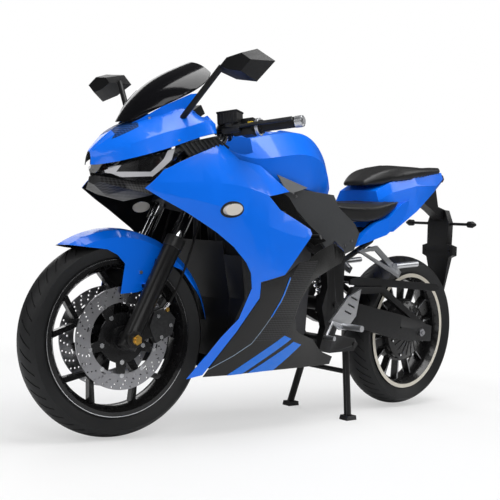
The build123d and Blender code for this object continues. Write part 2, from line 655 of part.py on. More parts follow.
def nose_cowl():
    """Beak and flanks over the headlights, open below and behind, cut for the screen."""
    left = skin(COWL, PANEL_T)
    screen_bay = loft_x([(712, [(-4, 860), (30, 860), (30, 990), (-4, 990)]),
                         (640, [(-4, 860), (80, 860), (80, 1020), (-4, 1020)]),
                         (480, [(-4, 860), (112, 860), (112, 1020), (-4, 1020)])], True)
    # x, y, z of the upper edge of the flank beside the screen
    wing_table = [(716, 34, 922), (700, 50, 934), (653, 90, 976), (577, 124, 1024), (541, 134, 1032)]
    wing = Solid.make_loft([
        Wire.make_polygon([Vector(x, y, z), Vector(x - 3, y - 3, z), Vector(x - 22, y + 2, z - 50),
                           Vector(x - 18, y + 6, z - 50)], close=True) for x, y, z in wing_table], True)
    wing = wing - slab([(538, 1028), (580, 974), (490, 974), (490, 1028)], 60, 200)
    left = left - screen_bay + wing
    return fuse([left, mirrored(left)]) - windscreen(0.6)


def windscreen(grown=0.0):
    """Tinted double-curved screen, grown by a clearance."""
    # centre x, centre z, edge x, edge y, edge z
    table = [(742, 922, 702, 48, 936), (694, 1000, 653, 88, 978), (622, 1072, 577, 122, 1030),
             (502, 1146, 488, 100, 1108)]
    wires = []
    for cx, cz, ex, ey, ez in table:
        inwards = Vector(ex - cx, 0, ez - cz).normalized()
        out, back = inwards * -grown, inwards * (PANEL_T + grown)
        tip, left, right = Vector(cx, 0, cz), Vector(ex, ey + grown, ez), Vector(ex, -ey - grown, ez)
        outer = Edge.make_three_point_arc(left + out, tip + out, right + out)
        inner = Edge.make_three_point_arc(right + back, tip + back, left + back)
        wires.append(Wire([
            outer, Edge.make_line(right + out, right + back),
            inner, Edge.make_line(left + back, left + out)]))
    return Solid.make_loft(wires, False)


def headlights():
    """Two slanted lenses under the cowl."""
    table = [(802, [(30, 770), (30, 760)]), (763, [(96, 797), (84, 754)]),
             (710, [(136, 823), (136, 754)]), (667, [(150, 843), (157, 794)]), (612, [(154, 866), (156, 850)])]
    return on_legs(skin(table, 10))


def headlight_surround():
    """Dark intake nose under the lenses."""
    table = [
        (806, both_sides([(0, 758), (28, 756), (32, 740), (0, 732)])),
        (762, both_sides([(0, 752), (82, 750), (108, 724), (0, 704)])),
        (700, both_sides([(0, 752), (130, 748), (144, 714), (0, 694)])),
    ]
    return loft_x(table, True)


def steering_room():
    """Space round the steering axis that the fork and the clamps sweep."""
    low, high = fork_point(440, 0, -FORK_OFFSET), fork_point(900, 0, -FORK_OFFSET)
    sweep = rod(low, high, hypot(LEG_Y, FORK_OFFSET) + TUBE_R + 16)
    behind = [fork_point(u, 0, -FORK_OFFSET - 52 - d) for u, d in ((400, 0), (960, 0), (960, 200), (400, 200))]
    return sweep - slab([(p[0], p[2]) for p in behind], -200, 200)


def tank_shell():
    """Sculpted cover over the electrics, before its pocket is cut."""
    table = [
        (462, both_sides([(0, 896), (110, 894), (142, 886), (138, 850), (0, 850)])),
        (380, both_sides([(0, 914), (108, 904), (149, 868), (144, 828), (0, 828)])),
        (290, both_sides([(0, 950), (92, 936), (154, 870), (148, 816), (0, 816)])),
        (190, both_sides([(0, 976), (92, 964), (158, 892), (144, 806), (0, 806)])),
        (40, both_sides([(0, 1002), (84, 986), (148, 905), (128, 796), (0, 796)])),
        (-60, both_sides([(0, 962), (78, 940), (112, 872), (94, 794), (0, 794)])),
        (-116, both_sides([(0, 860), (60, 846), (82, 818), (76, 794), (0, 794)])),
    ]
    return loft_x(table) - steering_room()


# Hinge of the charge lid, ahead of its disc
HINGE_X = LID_X + LID_R + 8
HINGE_Z = LID_Z + 5.5
HINGE_PIN_R = 2.0
KNUCKLE_R = 5.0
KNUCKLE_HALF = 8.0


def tank():
    """Tank cover with the pocket, hinge lugs and pin of the charge lid."""
    shell = tank_shell()
    for bar in spar_pair():
        shell = shell - bar
    pocket = Pos(LID_X, 0, LID_Z) * Solid.make_cylinder(LID_R + LID_GAP, 60)
    notch = Solid.make_box(26, 2 * KNUCKLE_HALF + 12, 60, Plane(origin=(LID_X + LID_R - 6, -KNUCKLE_HALF - 6, LID_Z)))
    shell = shell - pocket - notch
    lug_side = [(HINGE_X - 4, LID_Z - 2), (HINGE_X + 6, LID_Z - 2), (HINGE_X + 4, HINGE_Z + 4), (HINGE_X - 4, HINGE_Z + 4)]
    lug = slab(lug_side, KNUCKLE_HALF + 0.5, KNUCKLE_HALF + 4.5)
    pin = cross_rod(HINGE_X, HINGE_Z, KNUCKLE_HALF + 2, HINGE_PIN_R)
    return fuse([shell, lug, mirrored(lug), pin])


def charge_lid():
    """Round flap over the charge port, with its hinge knuckle at the front."""
    disc = Pos(LID_X, 0, LID_Z + SEAT) * Solid.make_cylinder(LID_R, LID_T)
    disc = disc.chamfer(1.5, None, disc.edges().sort_by(Axis.Z)[-1:])
    web = slab([(LID_X + LID_R - 3, LID_Z + SEAT), (HINGE_X, LID_Z + 1), (HINGE_X, LID_Z + 6), (LID_X + LID_R - 3, LID_Z + 6)],
               -KNUCKLE_HALF, KNUCKLE_HALF)
    knuckle = cross_rod(HINGE_X, HINGE_Z, KNUCKLE_HALF, KNUCKLE_R)
    return fuse([disc, web, knuckle]) - cross_rod(HINGE_X, HINGE_Z, KNUCKLE_HALF + 5, HINGE_PIN_R + RUN)


def frame_cover():
    """Left mid cover between tank and seat."""
    outline = [(180, 771), (90, 792), (-72, 791), (-104, 750), (-198, 700), (-226, 668), (-203, 608),
               (-100, 572), (-60, 600), (60, 690)]
    return slab(outline, FRAME_Y[1] + SEAT, 144)


def rider_seat():
    """Narrow-nosed rider's seat, with ears running back along the tail."""
    table = [
        (-92, both_sides([(0, 786), (52, 782), (66, 768), (60, 752), (0, 752)])),
        (-180, both_sides([(0, 780), (78, 774), (112, 756), (104, 716), (0, 716)])),
        (-300, both_sides([(0, 788), (108, 784), (138, 768), (132, 716), (0, 716)])),
        (-400, both_sides([(0, 806), (108, 802), (134, 790), (128, 746), (0, 744)])),
        (-486, both_sides([(0, 816), (100, 814), (120, 810), (116, 800), (0, 798)])),
    ]
    return loft_x(table) - tail_hump(SEAT)


def passenger_seat():
    """Raised passenger seat, shaped to the tail below."""
    table = [
        (-342, both_sides([(0, 870), (44, 868), (50, 862), (46, 852), (0, 852)])),
        (-450, both_sides([(0, 936), (80, 926), (98, 896), (90, 870), (0, 870)])),
        (-600, both_sides([(0, 960), (84, 954), (100, 934), (92, 900), (0, 900)])),
        (-830, both_sides([(0, 984), (46, 980), (56, 968), (50, 950), (0, 950)])),
    ]
    return loft_x(table) - tail_hump(SEAT)


def tail_hump(grown=0.0):
    """The tail behind the rider, grown by a clearance."""
    g = grown
    table = [
        (-372 + g, both_sides([(0, 840 + g), (88 + g, 836 + g), (104 + g, 800), (112 + g, 680 - g), (0, 680 - g)])),
        (-450, both_sides([(0, 883 + g), (94 + g, 878 + g), (112 + g, 840), (124 + g, 690 - g), (0, 690 - g)])),
        (-600, both_sides([(0, 917 + g), (90 + g, 912 + g), (108 + g, 880), (118 + g, 780 - g), (0, 780 - g)])),
        (-780, both_sides([(0, 952 + g), (60 + g, 946 + g), (76 + g, 900), (68 + g, 876 - g), (0, 876 - g)])),
        (-856, both_sides([(0, 966 + g), (42 + g, 962 + g), (52 + g, 936), (44 + g, 918 - g), (0, 918 - g)])),
    ]
    return loft_x(table, True)


# Side view of the painted strip that runs forward beside the seat
TAIL_STRIP = [
    (-212, 619), (-250, 664), (-326, 714), (-400, 738), (-486, 796), (-640, 860), (-700, 850),
    (-552, 770), (-393, 674)]


def tail_cowl():
    """Painted tail: a hump behind the rider and a strip down each side."""
    strip = slab(TAIL_STRIP, 116, 142)
    strip = strip & loft_x([
        (-200, [(60, 560), (142, 560), (144, 720), (60, 720)]),
        (-400, [(60, 600), (136, 600), (140, 800), (60, 800)]),
        (-720, [(40, 760), (84, 760), (90, 900), (40, 900)])], True)
    solid = fuse([tail_hump(), strip, mirrored(strip)])
    hollow = loft_x([
        (-378, both_sides([(0, 824), (80, 820), (96, 790), (100, 600), (0, 600)])),
        (-600, both_sides([(0, 905), (80, 900), (98, 870), (104, 700), (0, 700)])),
        (-790, both_sides([(0, 942), (50, 936), (62, 900), (56, 800), (0, 800)]))], True)
    solid = solid - hollow
    for path in (UPPER_RAIL, LOWER_RAIL):
        room = bent_rod(path, RAIL_R + SEAT)
        solid = solid - room - mirrored(room)
    return solid


def tail_light():
    """Lamp bar closing the tail."""
    return loft_x([(-856.3, both_sides([(0, 962), (41, 958), (50, 936), (43, 920), (0, 922)])),
                   (-884, both_sides([(0, 956), (34, 952), (40, 938), (35, 926), (0, 928)]))], True)


PLATE_HOLE_Z = 641.0
PLATE_HOLES = 120.0         # between the two plate bolts
PLATE_HOLE_R = 3.0


def plate_holder():
    """Rear mudguard that carries the signals, with two holes for a plate."""
    arm = slab([(-745, 840), (-752, 900), (-840, 930), (-880, 822), (-938, 812), (-950, 776), (-922, 768), (-850, 800)],
               -24, 24) - tail_hump(SEAT)
    # z, half width, front x, rear x
    table = [(812, 34, -918, -950), (760, 52, -922, -958), (668, 50, -926, -964), (660, 76, -930, -964),
             (622, 76, -934, -966), (612, 56, -936, -962), (462, 26, -958, -966)]
    wires = [Wire.make_polygon([Vector(xf, w, z), Vector(xf, -w, z), Vector(xr, -w, z), Vector(xr, w, z)], close=True)
             for z, w, xf, xr in table]
    body = arm + Solid.make_loft(wires, True)
    for side in (-1, 1):
        y = side * PLATE_HOLES / 2
        body = body - rod((-900, y, PLATE_HOLE_Z), (-1000, y, PLATE_HOLE_Z), PLATE_HOLE_R)
    return body


def rear_signals():
    """Turn signals on short stalks."""
    base = Vector(-938, 52 + SEAT, 755)
    stalk = rod(tuple(base), (-938, 134, 755), 6)
    # distance out, radius of the lamp
    steps = [(132, 7), (138, 13), (158, 14), (174, 5)]
    lamp = fuse([Solid.make_cone(r0, r1, y1 - y0, Plane(origin=(-938, y0, 755), z_dir=(0, 1, 0)))
                 for (y0, r0), (y1, r1) in zip(steps, steps[1:])])
    return on_legs(stalk + lamp)


def signal_oval(grown, y_from, y_to):
    """Oval prism of the side signal, grown all round by a clearance."""
    face = Plane.XZ * Ellipse(34 + grown, 17 + grown)
    face = Pos(SIGNAL_X, y_from, SIGNAL_Z) * Rot(0, 12, 0) * face
    return extrude(face, y_to - y_from, dir=(0, 1, 0))


def side_signals():
    """Oval lenses let into the side fairing."""
    return on_legs(signal_oval(0, 218, 238).solid())


MIRROR_OUTLINE = [(443, 1092), (368, 1134), (262, 1122), (216, 1086), (292, 1056), (376, 1042)]


def mirrors():
    """Angular mirror housings on stalks from the cowl."""
    cy, cz = 340, 1090
    rear = Wire.make_polygon([Vector(552, y, z) for y, z in MIRROR_OUTLINE], close=True)
    front = Wire.make_polygon(
        [Vector(600, cy + (y - cy) * 0.55, cz + (z - cz) * 0.55) for y, z in MIRROR_OUTLINE], close=True)
    housing = Solid.make_loft([rear, front], True)
    stalk = rod((610, 110, 926), (575, 250, 1092), 9) - inside(COWL, -SEAT)
    return on_legs(fuse([housing] + stalk.solids()))


def mirror_glass():
    """Glass set against the rear of each housing."""
    cy, cz = 340, 1090
    wire = Wire.make_polygon([Vector(552, cy + (y - cy) * 0.9, cz + (z - cz) * 0.9) for y, z in MIRROR_OUTLINE], close=True)
    return on_legs(Solid.extrude(Face(wire), Vector(-3, 0, 0)))


def dash_case(grown=0.0):
    """Instrument case behind the screen, grown by a clearance."""
    g = grown
    face = Plane(origin=(515, 0, 975), x_dir=(-0.8, 0, 0.6), z_dir=(0.6, 0, 0.8))
    case = Solid.make_box(76 + 2 * g, 150 + 2 * g, 30 + 2 * g, Plane(
        origin=face.from_local_coords(Vector(-38 - g, -75 - g, -15 - g)), x_dir=face.x_dir, z_dir=face.z_dir))
    return case


def fairing_stay():
    """Bracket from the head tube that carries cowl, lamps, dash and side panels."""
    spine = slab([(410, 780), (424, 822), (556, 836), (540, 962), (566, 962), (590, 842), (699.7, 752), (699.7, 716), (560, 790)],
                 -20, 20)
    spine = spine - rod(fork_point(CLAMP_LOW, 0, -FORK_OFFSET), fork_point(CLAMP_HIGH, 0, -FORK_OFFSET), HEAD_TUBE_R + SEAT)
    spine = spine - dash_case(SEAT)
    low_bar = cross_rod(610, 790, 240, 8) & inside(FAIRING, PANEL_T + SEAT)
    high_bar = cross_rod(559, 925, 240, 8) & inside(COWL, PANEL_T + SEAT)
    spine = max(spine.solids(), key=lambda piece: piece.volume)
    return fuse([spine, low_bar, high_bar])


def rider_footrest():
    """Left heel guard with slots, foot peg, and the pedal lever reaching forward."""
    guard = slab([(-110, 350), (-165, 322), (-200, 322), (-250, 372), (-268, 470), (-200, 440)],
                 FRAME_Y[1] + SEAT, 138)
    for x, z in ((-206, 384), (-222, 408), (-236, 434)):
        guard = guard - slab([(x - 14, z - 9), (x + 22, z + 3), (x + 20, z + 9), (x - 16, z - 3)], 125, 145)
    peg = rod((-180, 134, 336), (-180, 225, 336), 11)
    lever = bent_rod([(-168, 142, 340), (-108, 150, 350), (-72, 156, 300)], 5)
    toe = rod((-72, 150, 300), (-72, 196, 300), 8)
    return fuse([guard, peg, lever, toe])


def passenger_rest():
    """Left passenger peg hanger on bosses from the lower rail, with its peg folded back."""
    hanger = slab([(-252, 606), (-360, 632), (-520, 540), (-505, 516)], 116, 124)
    window = slab([(-290, 603), (-350, 614), (-452, 553)], 110, 130)
    link = rod((-500, 120, 536), (-474, 136, 560), 8)
    peg = rod((-462, 136, 561), (-592, 140, 576), 11)
    bosses = [rod((x, 95, z), (x, 118, z), 9) for x, z in ((-282, 606), (-345, 618))]
    rail = bent_rod(LOWER_RAIL, RAIL_R + SEAT)
    seats = [(boss - rail).solids().sort_by(Axis.Y)[-1] for boss in bosses]
    return fuse([hanger - window, link, peg] + seats)


def front_liner():
    """Black inner panels round the front wheel: a back wall and two side walls."""
    back = slab([(372, 238), (366, 238), (364, 420), (418, 600), (424, 600), (371, 420)], -140, 140)
    # z, outer x, outer y, inner x, inner y
    table = [(240, 452, 175, 369, 137), (330, 412, 205, 368, 137), (430, 376, 225, 370, 137), (560, 414, 235, 409, 137)]
    wires = [Wire.make_polygon([Vector(xo, yo, z), Vector(xo + 4, yo - 3, z), Vector(xi + 4, yi, z), Vector(xi, yi, z)],
                               close=True) for z, xo, yo, xi, yi in table]
    side = Solid.make_loft(wires, True) & inside(FAIRING, PANEL_T + SEAT)
    return fuse([back, side, mirrored(side)])


NODES = {
    "frame": frame(),
    "subframe": subframe(),
    "battery_block": battery_block(),
    "swingarm": swingarm(),
    "rear_axle": rear_axle(),
    "rear_hugger": rear_hugger(),
    "rear_shock": rear_shock(),
    "centre_stand": centre_stand(),
    "side_fairing_left": side_fairing(),
    "side_fairing_right": mirrored(side_fairing()),
    "lower_fairing_left": lower_fairing(),
    "lower_fairing_right": mirrored(lower_fairing()),
    "belly_pan": belly_pan(),
    "nose_cowl": nose_cowl(),
    "windscreen": windscreen(),
    "headlights": headlights(),
    "headlight_surround": headlight_surround(),
    "tank": tank(),
    "charge_lid": charge_lid(),
    "frame_covers": on_legs(frame_cover()),
    "rider_seat": rider_seat(),
    "passenger_seat": passenger_seat(),
    "tail_cowl": tail_cowl(),
    "tail_light": tail_light(),
    "plate_holder": plate_holder(),
    "rear_signals": rear_signals(),
    "side_signals": side_signals(),
    "mirrors": mirrors(),
    "mirror_glass": mirror_glass(),
    "dash": dash_case(),
    "fairing_stay": fairing_stay(),
    "rider_footrests": on_legs(rider_footrest()),
    "passenger_rests": on_legs(passenger_rest()),
    "front_liner": front_liner(),
    "front_tyre": at_front_wheel(tyre(FRONT_TYRE_R, FRONT_TYRE_W)),
    "front_rim": at_front_wheel(front_rim()),
    "front_discs": at_front_wheel(front_discs()),
    "rear_tyre": at_rear_wheel(tyre(REAR_TYRE_R, REAR_TYRE_W)),
    "rear_rim": at_rear_wheel(rear_rim()),
    "hub_motor": at_rear_wheel(hub_motor()),
    "fork_legs": steered(fork_legs()),
    "fork_tubes": steered(fork_tubes()),
    "triple_clamps": steered(triple_clamps()),
    "clip_ons": steered(clip_ons()),
    "grips": steered(grips()),
    "bar_controls": steered(bar_controls()),
    "front_axle": steered(front_axle()),
    "front_fender": steered(front_fender()),
    "brake_calipers": steered(brake_calipers()),
}

for name, shape in NODES.items():
    export_step(shape, f"parts/{name}.step")
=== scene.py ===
"""Looks of a faired electric sport motorcycle: finishes, softened edges and fine pieces.

Metres. X points forward, Y to the rider's left, Z up, with the origin on the ground.
"""

import json
import logging
import math
from collections.abc import Iterable, Sequence
from dataclasses import dataclass, field
from enum import Enum

import bmesh
import bpy
from mathutils import Matrix, Vector
from mathutils.bvhtree import BVHTree

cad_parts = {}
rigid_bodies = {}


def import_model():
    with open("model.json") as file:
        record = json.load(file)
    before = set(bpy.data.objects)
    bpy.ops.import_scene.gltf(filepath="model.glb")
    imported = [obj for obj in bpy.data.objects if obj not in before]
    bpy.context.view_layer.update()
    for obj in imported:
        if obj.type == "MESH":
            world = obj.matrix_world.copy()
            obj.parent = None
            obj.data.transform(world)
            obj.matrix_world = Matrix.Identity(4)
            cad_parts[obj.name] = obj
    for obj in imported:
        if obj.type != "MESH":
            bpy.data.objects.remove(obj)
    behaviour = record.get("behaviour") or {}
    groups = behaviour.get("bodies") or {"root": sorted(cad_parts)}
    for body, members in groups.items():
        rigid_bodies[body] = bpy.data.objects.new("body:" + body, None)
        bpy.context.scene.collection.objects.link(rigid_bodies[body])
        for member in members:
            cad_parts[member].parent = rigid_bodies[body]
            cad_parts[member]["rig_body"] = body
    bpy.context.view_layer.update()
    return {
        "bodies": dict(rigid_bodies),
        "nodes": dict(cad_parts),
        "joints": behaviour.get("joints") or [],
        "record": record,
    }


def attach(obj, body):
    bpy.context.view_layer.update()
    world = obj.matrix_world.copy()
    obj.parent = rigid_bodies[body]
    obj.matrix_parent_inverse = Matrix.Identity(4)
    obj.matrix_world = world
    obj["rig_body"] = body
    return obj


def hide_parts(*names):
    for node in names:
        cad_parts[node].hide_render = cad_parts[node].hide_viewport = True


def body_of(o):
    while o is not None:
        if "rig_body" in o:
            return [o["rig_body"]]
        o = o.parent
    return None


LOG = logging.getLogger("motorcycle")
IMAGE_PX = 500
MERGE = 2e-6            # vertices closer than this are one
FLAT = math.radians(0.6)    # faces that meet flatter than this are joined
Color = tuple[float, float, float]
Pair = tuple[float, float]
Triple = tuple[float, float, float]
Tree = bpy.types.ShaderNodeTree
Socket = bpy.types.NodeSocket


class Body(Enum):
    """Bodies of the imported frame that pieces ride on."""

    CHASSIS = "chassis"
    STEERING = "steering"
    FRONT_WHEEL = "front_wheel"
    REAR_WHEEL = "rear_wheel"
    STAND = "centre_stand"
    LID = "charge_lid"


class Groups:
    """Shader node groups that the finishes share, each built once."""

    def __init__(self) -> None:
        """Builds every group."""
        self.mottle = self._mottle()
        self.wear = self._wear()
        self.grain = self._grain()
        self.weave = self._weave()
        self.dust = self._dust()

    @staticmethod
    def _new(name: str, inputs: Sequence[tuple[str, str, object]],
             outputs: Sequence[tuple[str, str]]) -> tuple[Tree, bpy.types.Node, bpy.types.Node]:
        """Makes an empty group with its sockets.

        Args:
            name: The group's name.
            inputs: Name, socket type and default value of each input.
            outputs: Name and socket type of each output.

        Returns:
            The group tree, its input node and its output node.
        """
        tree = bpy.data.node_groups.new(name, "ShaderNodeTree")
        for label, kind, value in inputs:
            socket = tree.interface.new_socket(label, in_out="INPUT", socket_type=kind)
            socket.default_value = value
        for label, kind in outputs:
            tree.interface.new_socket(label, in_out="OUTPUT", socket_type=kind)
        return tree, tree.nodes.new("NodeGroupInput"), tree.nodes.new("NodeGroupOutput")

    @staticmethod
    def calc(tree: Tree, kind: str, first: Socket | float, second: Socket | float | None = None,
             clamp: bool = False) -> Socket:
        """Adds a math node and returns its output socket.

        Args:
            tree: The node tree.
            kind: Operation name.
            first: Socket or number of the first input.
            second: Socket or number of the second input.
            clamp: Whether the result is held between 0 and 1.

        Returns:
            The output socket.
        """
        node = tree.nodes.new("ShaderNodeMath")
        node.operation, node.use_clamp = kind, clamp
        for slot, value in enumerate((first, second)):
            if isinstance(value, (int, float)):
                node.inputs[slot].default_value = value
            elif value is not None:
                tree.links.new(value, node.inputs[slot])
        return node.outputs[0]

    @staticmethod
    def mix(tree: Tree, factor: Socket, first: Socket, second: Socket, blend: str = "MIX") -> Socket:
        """Adds a colour mix node and returns its output socket.

        Args:
            tree: The node tree.
            factor: Socket of the mix factor.
            first: Socket of the first colour.
            second: Socket of the second colour.
            blend: Blend mode.

        Returns:
            The mixed colour's socket.
        """
        node = tree.nodes.new("ShaderNodeMix")
        node.data_type, node.blend_type = "RGBA", blend
        tree.links.new(factor, node.inputs["Factor"])
        tree.links.new(first, node.inputs[6])
        tree.links.new(second, node.inputs[7])
        return node.outputs[2]

    @staticmethod
    def noise(tree: Tree, scale: Socket | float, detail: float = 3.0,
              stretch: Triple | None = None) -> Socket:
        """Adds noise on object coordinates and returns its value socket.

        Args:
            tree: The node tree.
            scale: Socket or number of the noise's scale.
            detail: Octaves.
            stretch: Scale of the coordinates along each axis.

        Returns:
            The noise's value socket.
        """
        coords = tree.nodes.new("ShaderNodeTexCoord")
        place = coords.outputs["Object"]
        if stretch:
            mapping = tree.nodes.new("ShaderNodeMapping")
            mapping.inputs["Scale"].default_value = stretch
            tree.links.new(place, mapping.inputs["Vector"])
            place = mapping.outputs[0]
        noise = tree.nodes.new("ShaderNodeTexNoise")
        noise.inputs["Detail"].default_value = detail
        tree.links.new(place, noise.inputs["Vector"])
        if isinstance(scale, (int, float)):
            noise.inputs["Scale"].default_value = scale
        else:
            tree.links.new(scale, noise.inputs["Scale"])
        return noise.outputs[0]

    def _mottle(self) -> Tree:
        """Slow changes of colour and roughness over a surface.

        Returns:
            The group.
        """
        tree, given, out = self._new(
            "surface mottle",
            [("Color", "NodeSocketColor", (0.5, 0.5, 0.5, 1)), ("Scale", "NodeSocketFloat", 6.0),
             ("Amount", "NodeSocketFloat", 0.1), ("Roughness", "NodeSocketFloat", 0.4),
             ("Spread", "NodeSocketFloat", 0.1)],
            [("Color", "NodeSocketColor"), ("Roughness", "NodeSocketFloat")])
        noise = self.noise(tree, given.outputs["Scale"], 4.0)
        centred = self.calc(tree, "SUBTRACT", noise, 0.5)
        gain = self.calc(tree, "ADD", self.calc(tree, "MULTIPLY", centred, given.outputs["Amount"]), 1.0)
        scaled = tree.nodes.new("ShaderNodeVectorMath")
        scaled.operation = "SCALE"
        tree.links.new(given.outputs["Color"], scaled.inputs[0])
        tree.links.new(gain, scaled.inputs["Scale"])
        tree.links.new(scaled.outputs[0], out.inputs["Color"])
        fine = self.calc(tree, "SUBTRACT", self.noise(tree, 46.0, 5.0), 0.5)
        rough = self.calc(tree, "MULTIPLY", fine, given.outputs["Spread"])
        rough = self.calc(tree, "ADD", rough, given.outputs["Roughness"], clamp=True)
        tree.links.new(rough, out.inputs["Roughness"])
        return tree

    def _wear(self) -> Tree:
        """Bare edges and fine scuffs where a surface is sharply convex.

        Returns:
            The group.
        """
        tree, given, out = self._new(
            "edge wear",
            [("Color", "NodeSocketColor", (0.1, 0.1, 0.1, 1)),
             ("Wear Color", "NodeSocketColor", (0.5, 0.5, 0.5, 1)), ("Amount", "NodeSocketFloat", 0.3)],
            [("Color", "NodeSocketColor"), ("Mask", "NodeSocketFloat")])
        shape = tree.nodes.new("ShaderNodeNewGeometry")
        sharp = self.calc(tree, "SUBTRACT", shape.outputs["Pointiness"], 0.53)
        sharp = self.calc(tree, "MULTIPLY", sharp, 9.0, clamp=True)
        broken = self.calc(tree, "MULTIPLY", sharp, self.noise(tree, 120.0, 4.0))
        mask = self.calc(tree, "MULTIPLY", broken, given.outputs["Amount"], clamp=True)
        worn = self.mix(tree, mask, given.outputs["Color"], given.outputs["Wear Color"])
        tree.links.new(worn, out.inputs["Color"])
        tree.links.new(mask, out.inputs["Mask"])
        return tree

    def _grain(self) -> Tree:
        """Pebbled grain of moulded plastic, leather and rubber, as a height.

        Returns:
            The group.
        """
        tree, given, out = self._new(
            "pebble grain", [("Scale", "NodeSocketFloat", 600.0)], [("Height", "NodeSocketFloat")])
        coords = tree.nodes.new("ShaderNodeTexCoord")
        cells = tree.nodes.new("ShaderNodeTexVoronoi")
        cells.feature = "SMOOTH_F1"
        tree.links.new(coords.outputs["Object"], cells.inputs["Vector"])
        tree.links.new(given.outputs["Scale"], cells.inputs["Scale"])
        fine = self.noise(tree, self.calc(tree, "MULTIPLY", given.outputs["Scale"], 2.0), 2.0)
        height = self.calc(tree, "ADD", cells.outputs["Distance"], self.calc(tree, "MULTIPLY", fine, 0.4))
        tree.links.new(height, out.inputs["Height"])
        return tree

    def _weave(self) -> Tree:
        """Twill weave of carbon fibre, seen from the side, as a colour and a height.

        Returns:
            The group.
        """
        tree, given, out = self._new(
            "twill weave",
            [("Color", "NodeSocketColor", (0.02, 0.02, 0.02, 1)),
             ("Bright", "NodeSocketColor", (0.1, 0.1, 0.1, 1)), ("Scale", "NodeSocketFloat", 300.0)],
            [("Color", "NodeSocketColor"), ("Height", "NodeSocketFloat")])
        coords = tree.nodes.new("ShaderNodeTexCoord")
        bands = []
        for turn in (45.0, -45.0):
            mapping = tree.nodes.new("ShaderNodeMapping")
            mapping.inputs["Rotation"].default_value = (0, math.radians(turn), 0)
            tree.links.new(coords.outputs["Object"], mapping.inputs["Vector"])
            parts = tree.nodes.new("ShaderNodeSeparateXYZ")
            tree.links.new(mapping.outputs[0], parts.inputs[0])
            along = self.calc(tree, "MULTIPLY", parts.outputs["X"], given.outputs["Scale"])
            bands.append(self.calc(tree, "SINE", along))
        woven = self.calc(tree, "MULTIPLY", *bands)
        mask = self.calc(tree, "GREATER_THAN", woven, 0.0)
        color = self.mix(tree, mask, given.outputs["Color"], given.outputs["Bright"])
        tree.links.new(color, out.inputs["Color"])
        tree.links.new(woven, out.inputs["Height"])
        return tree

    def _dust(self) -> Tree:
        """Road film that settles on faces which look up.

        Returns:
            The group.
        """
        tree, given, out = self._new(
            "road film",
            [("Color", "NodeSocketColor", (0.1, 0.1, 0.1, 1)),
             ("Dust", "NodeSocketColor", (0.3, 0.28, 0.25, 1)), ("Amount", "NodeSocketFloat", 0.1)],
            [("Color", "NodeSocketColor"), ("Mask", "NodeSocketFloat")])
        shape = tree.nodes.new("ShaderNodeNewGeometry")
        parts = tree.nodes.new("ShaderNodeSeparateXYZ")
        tree.links.new(shape.outputs["Normal"], parts.inputs[0])
        upward = self.calc(tree, "MULTIPLY", parts.outputs["Z"], 1.0, clamp=True)
        patchy = self.calc(tree, "MULTIPLY", upward, self.noise(tree, 22.0, 5.0))
        mask = self.calc(tree, "MULTIPLY", patchy, given.outputs["Amount"], clamp=True)
        dusty = self.mix(tree, mask, given.outputs["Color"], given.outputs["Dust"])
        tree.links.new(dusty, out.inputs["Color"])
        tree.links.new(mask, out.inputs["Mask"])
        return tree


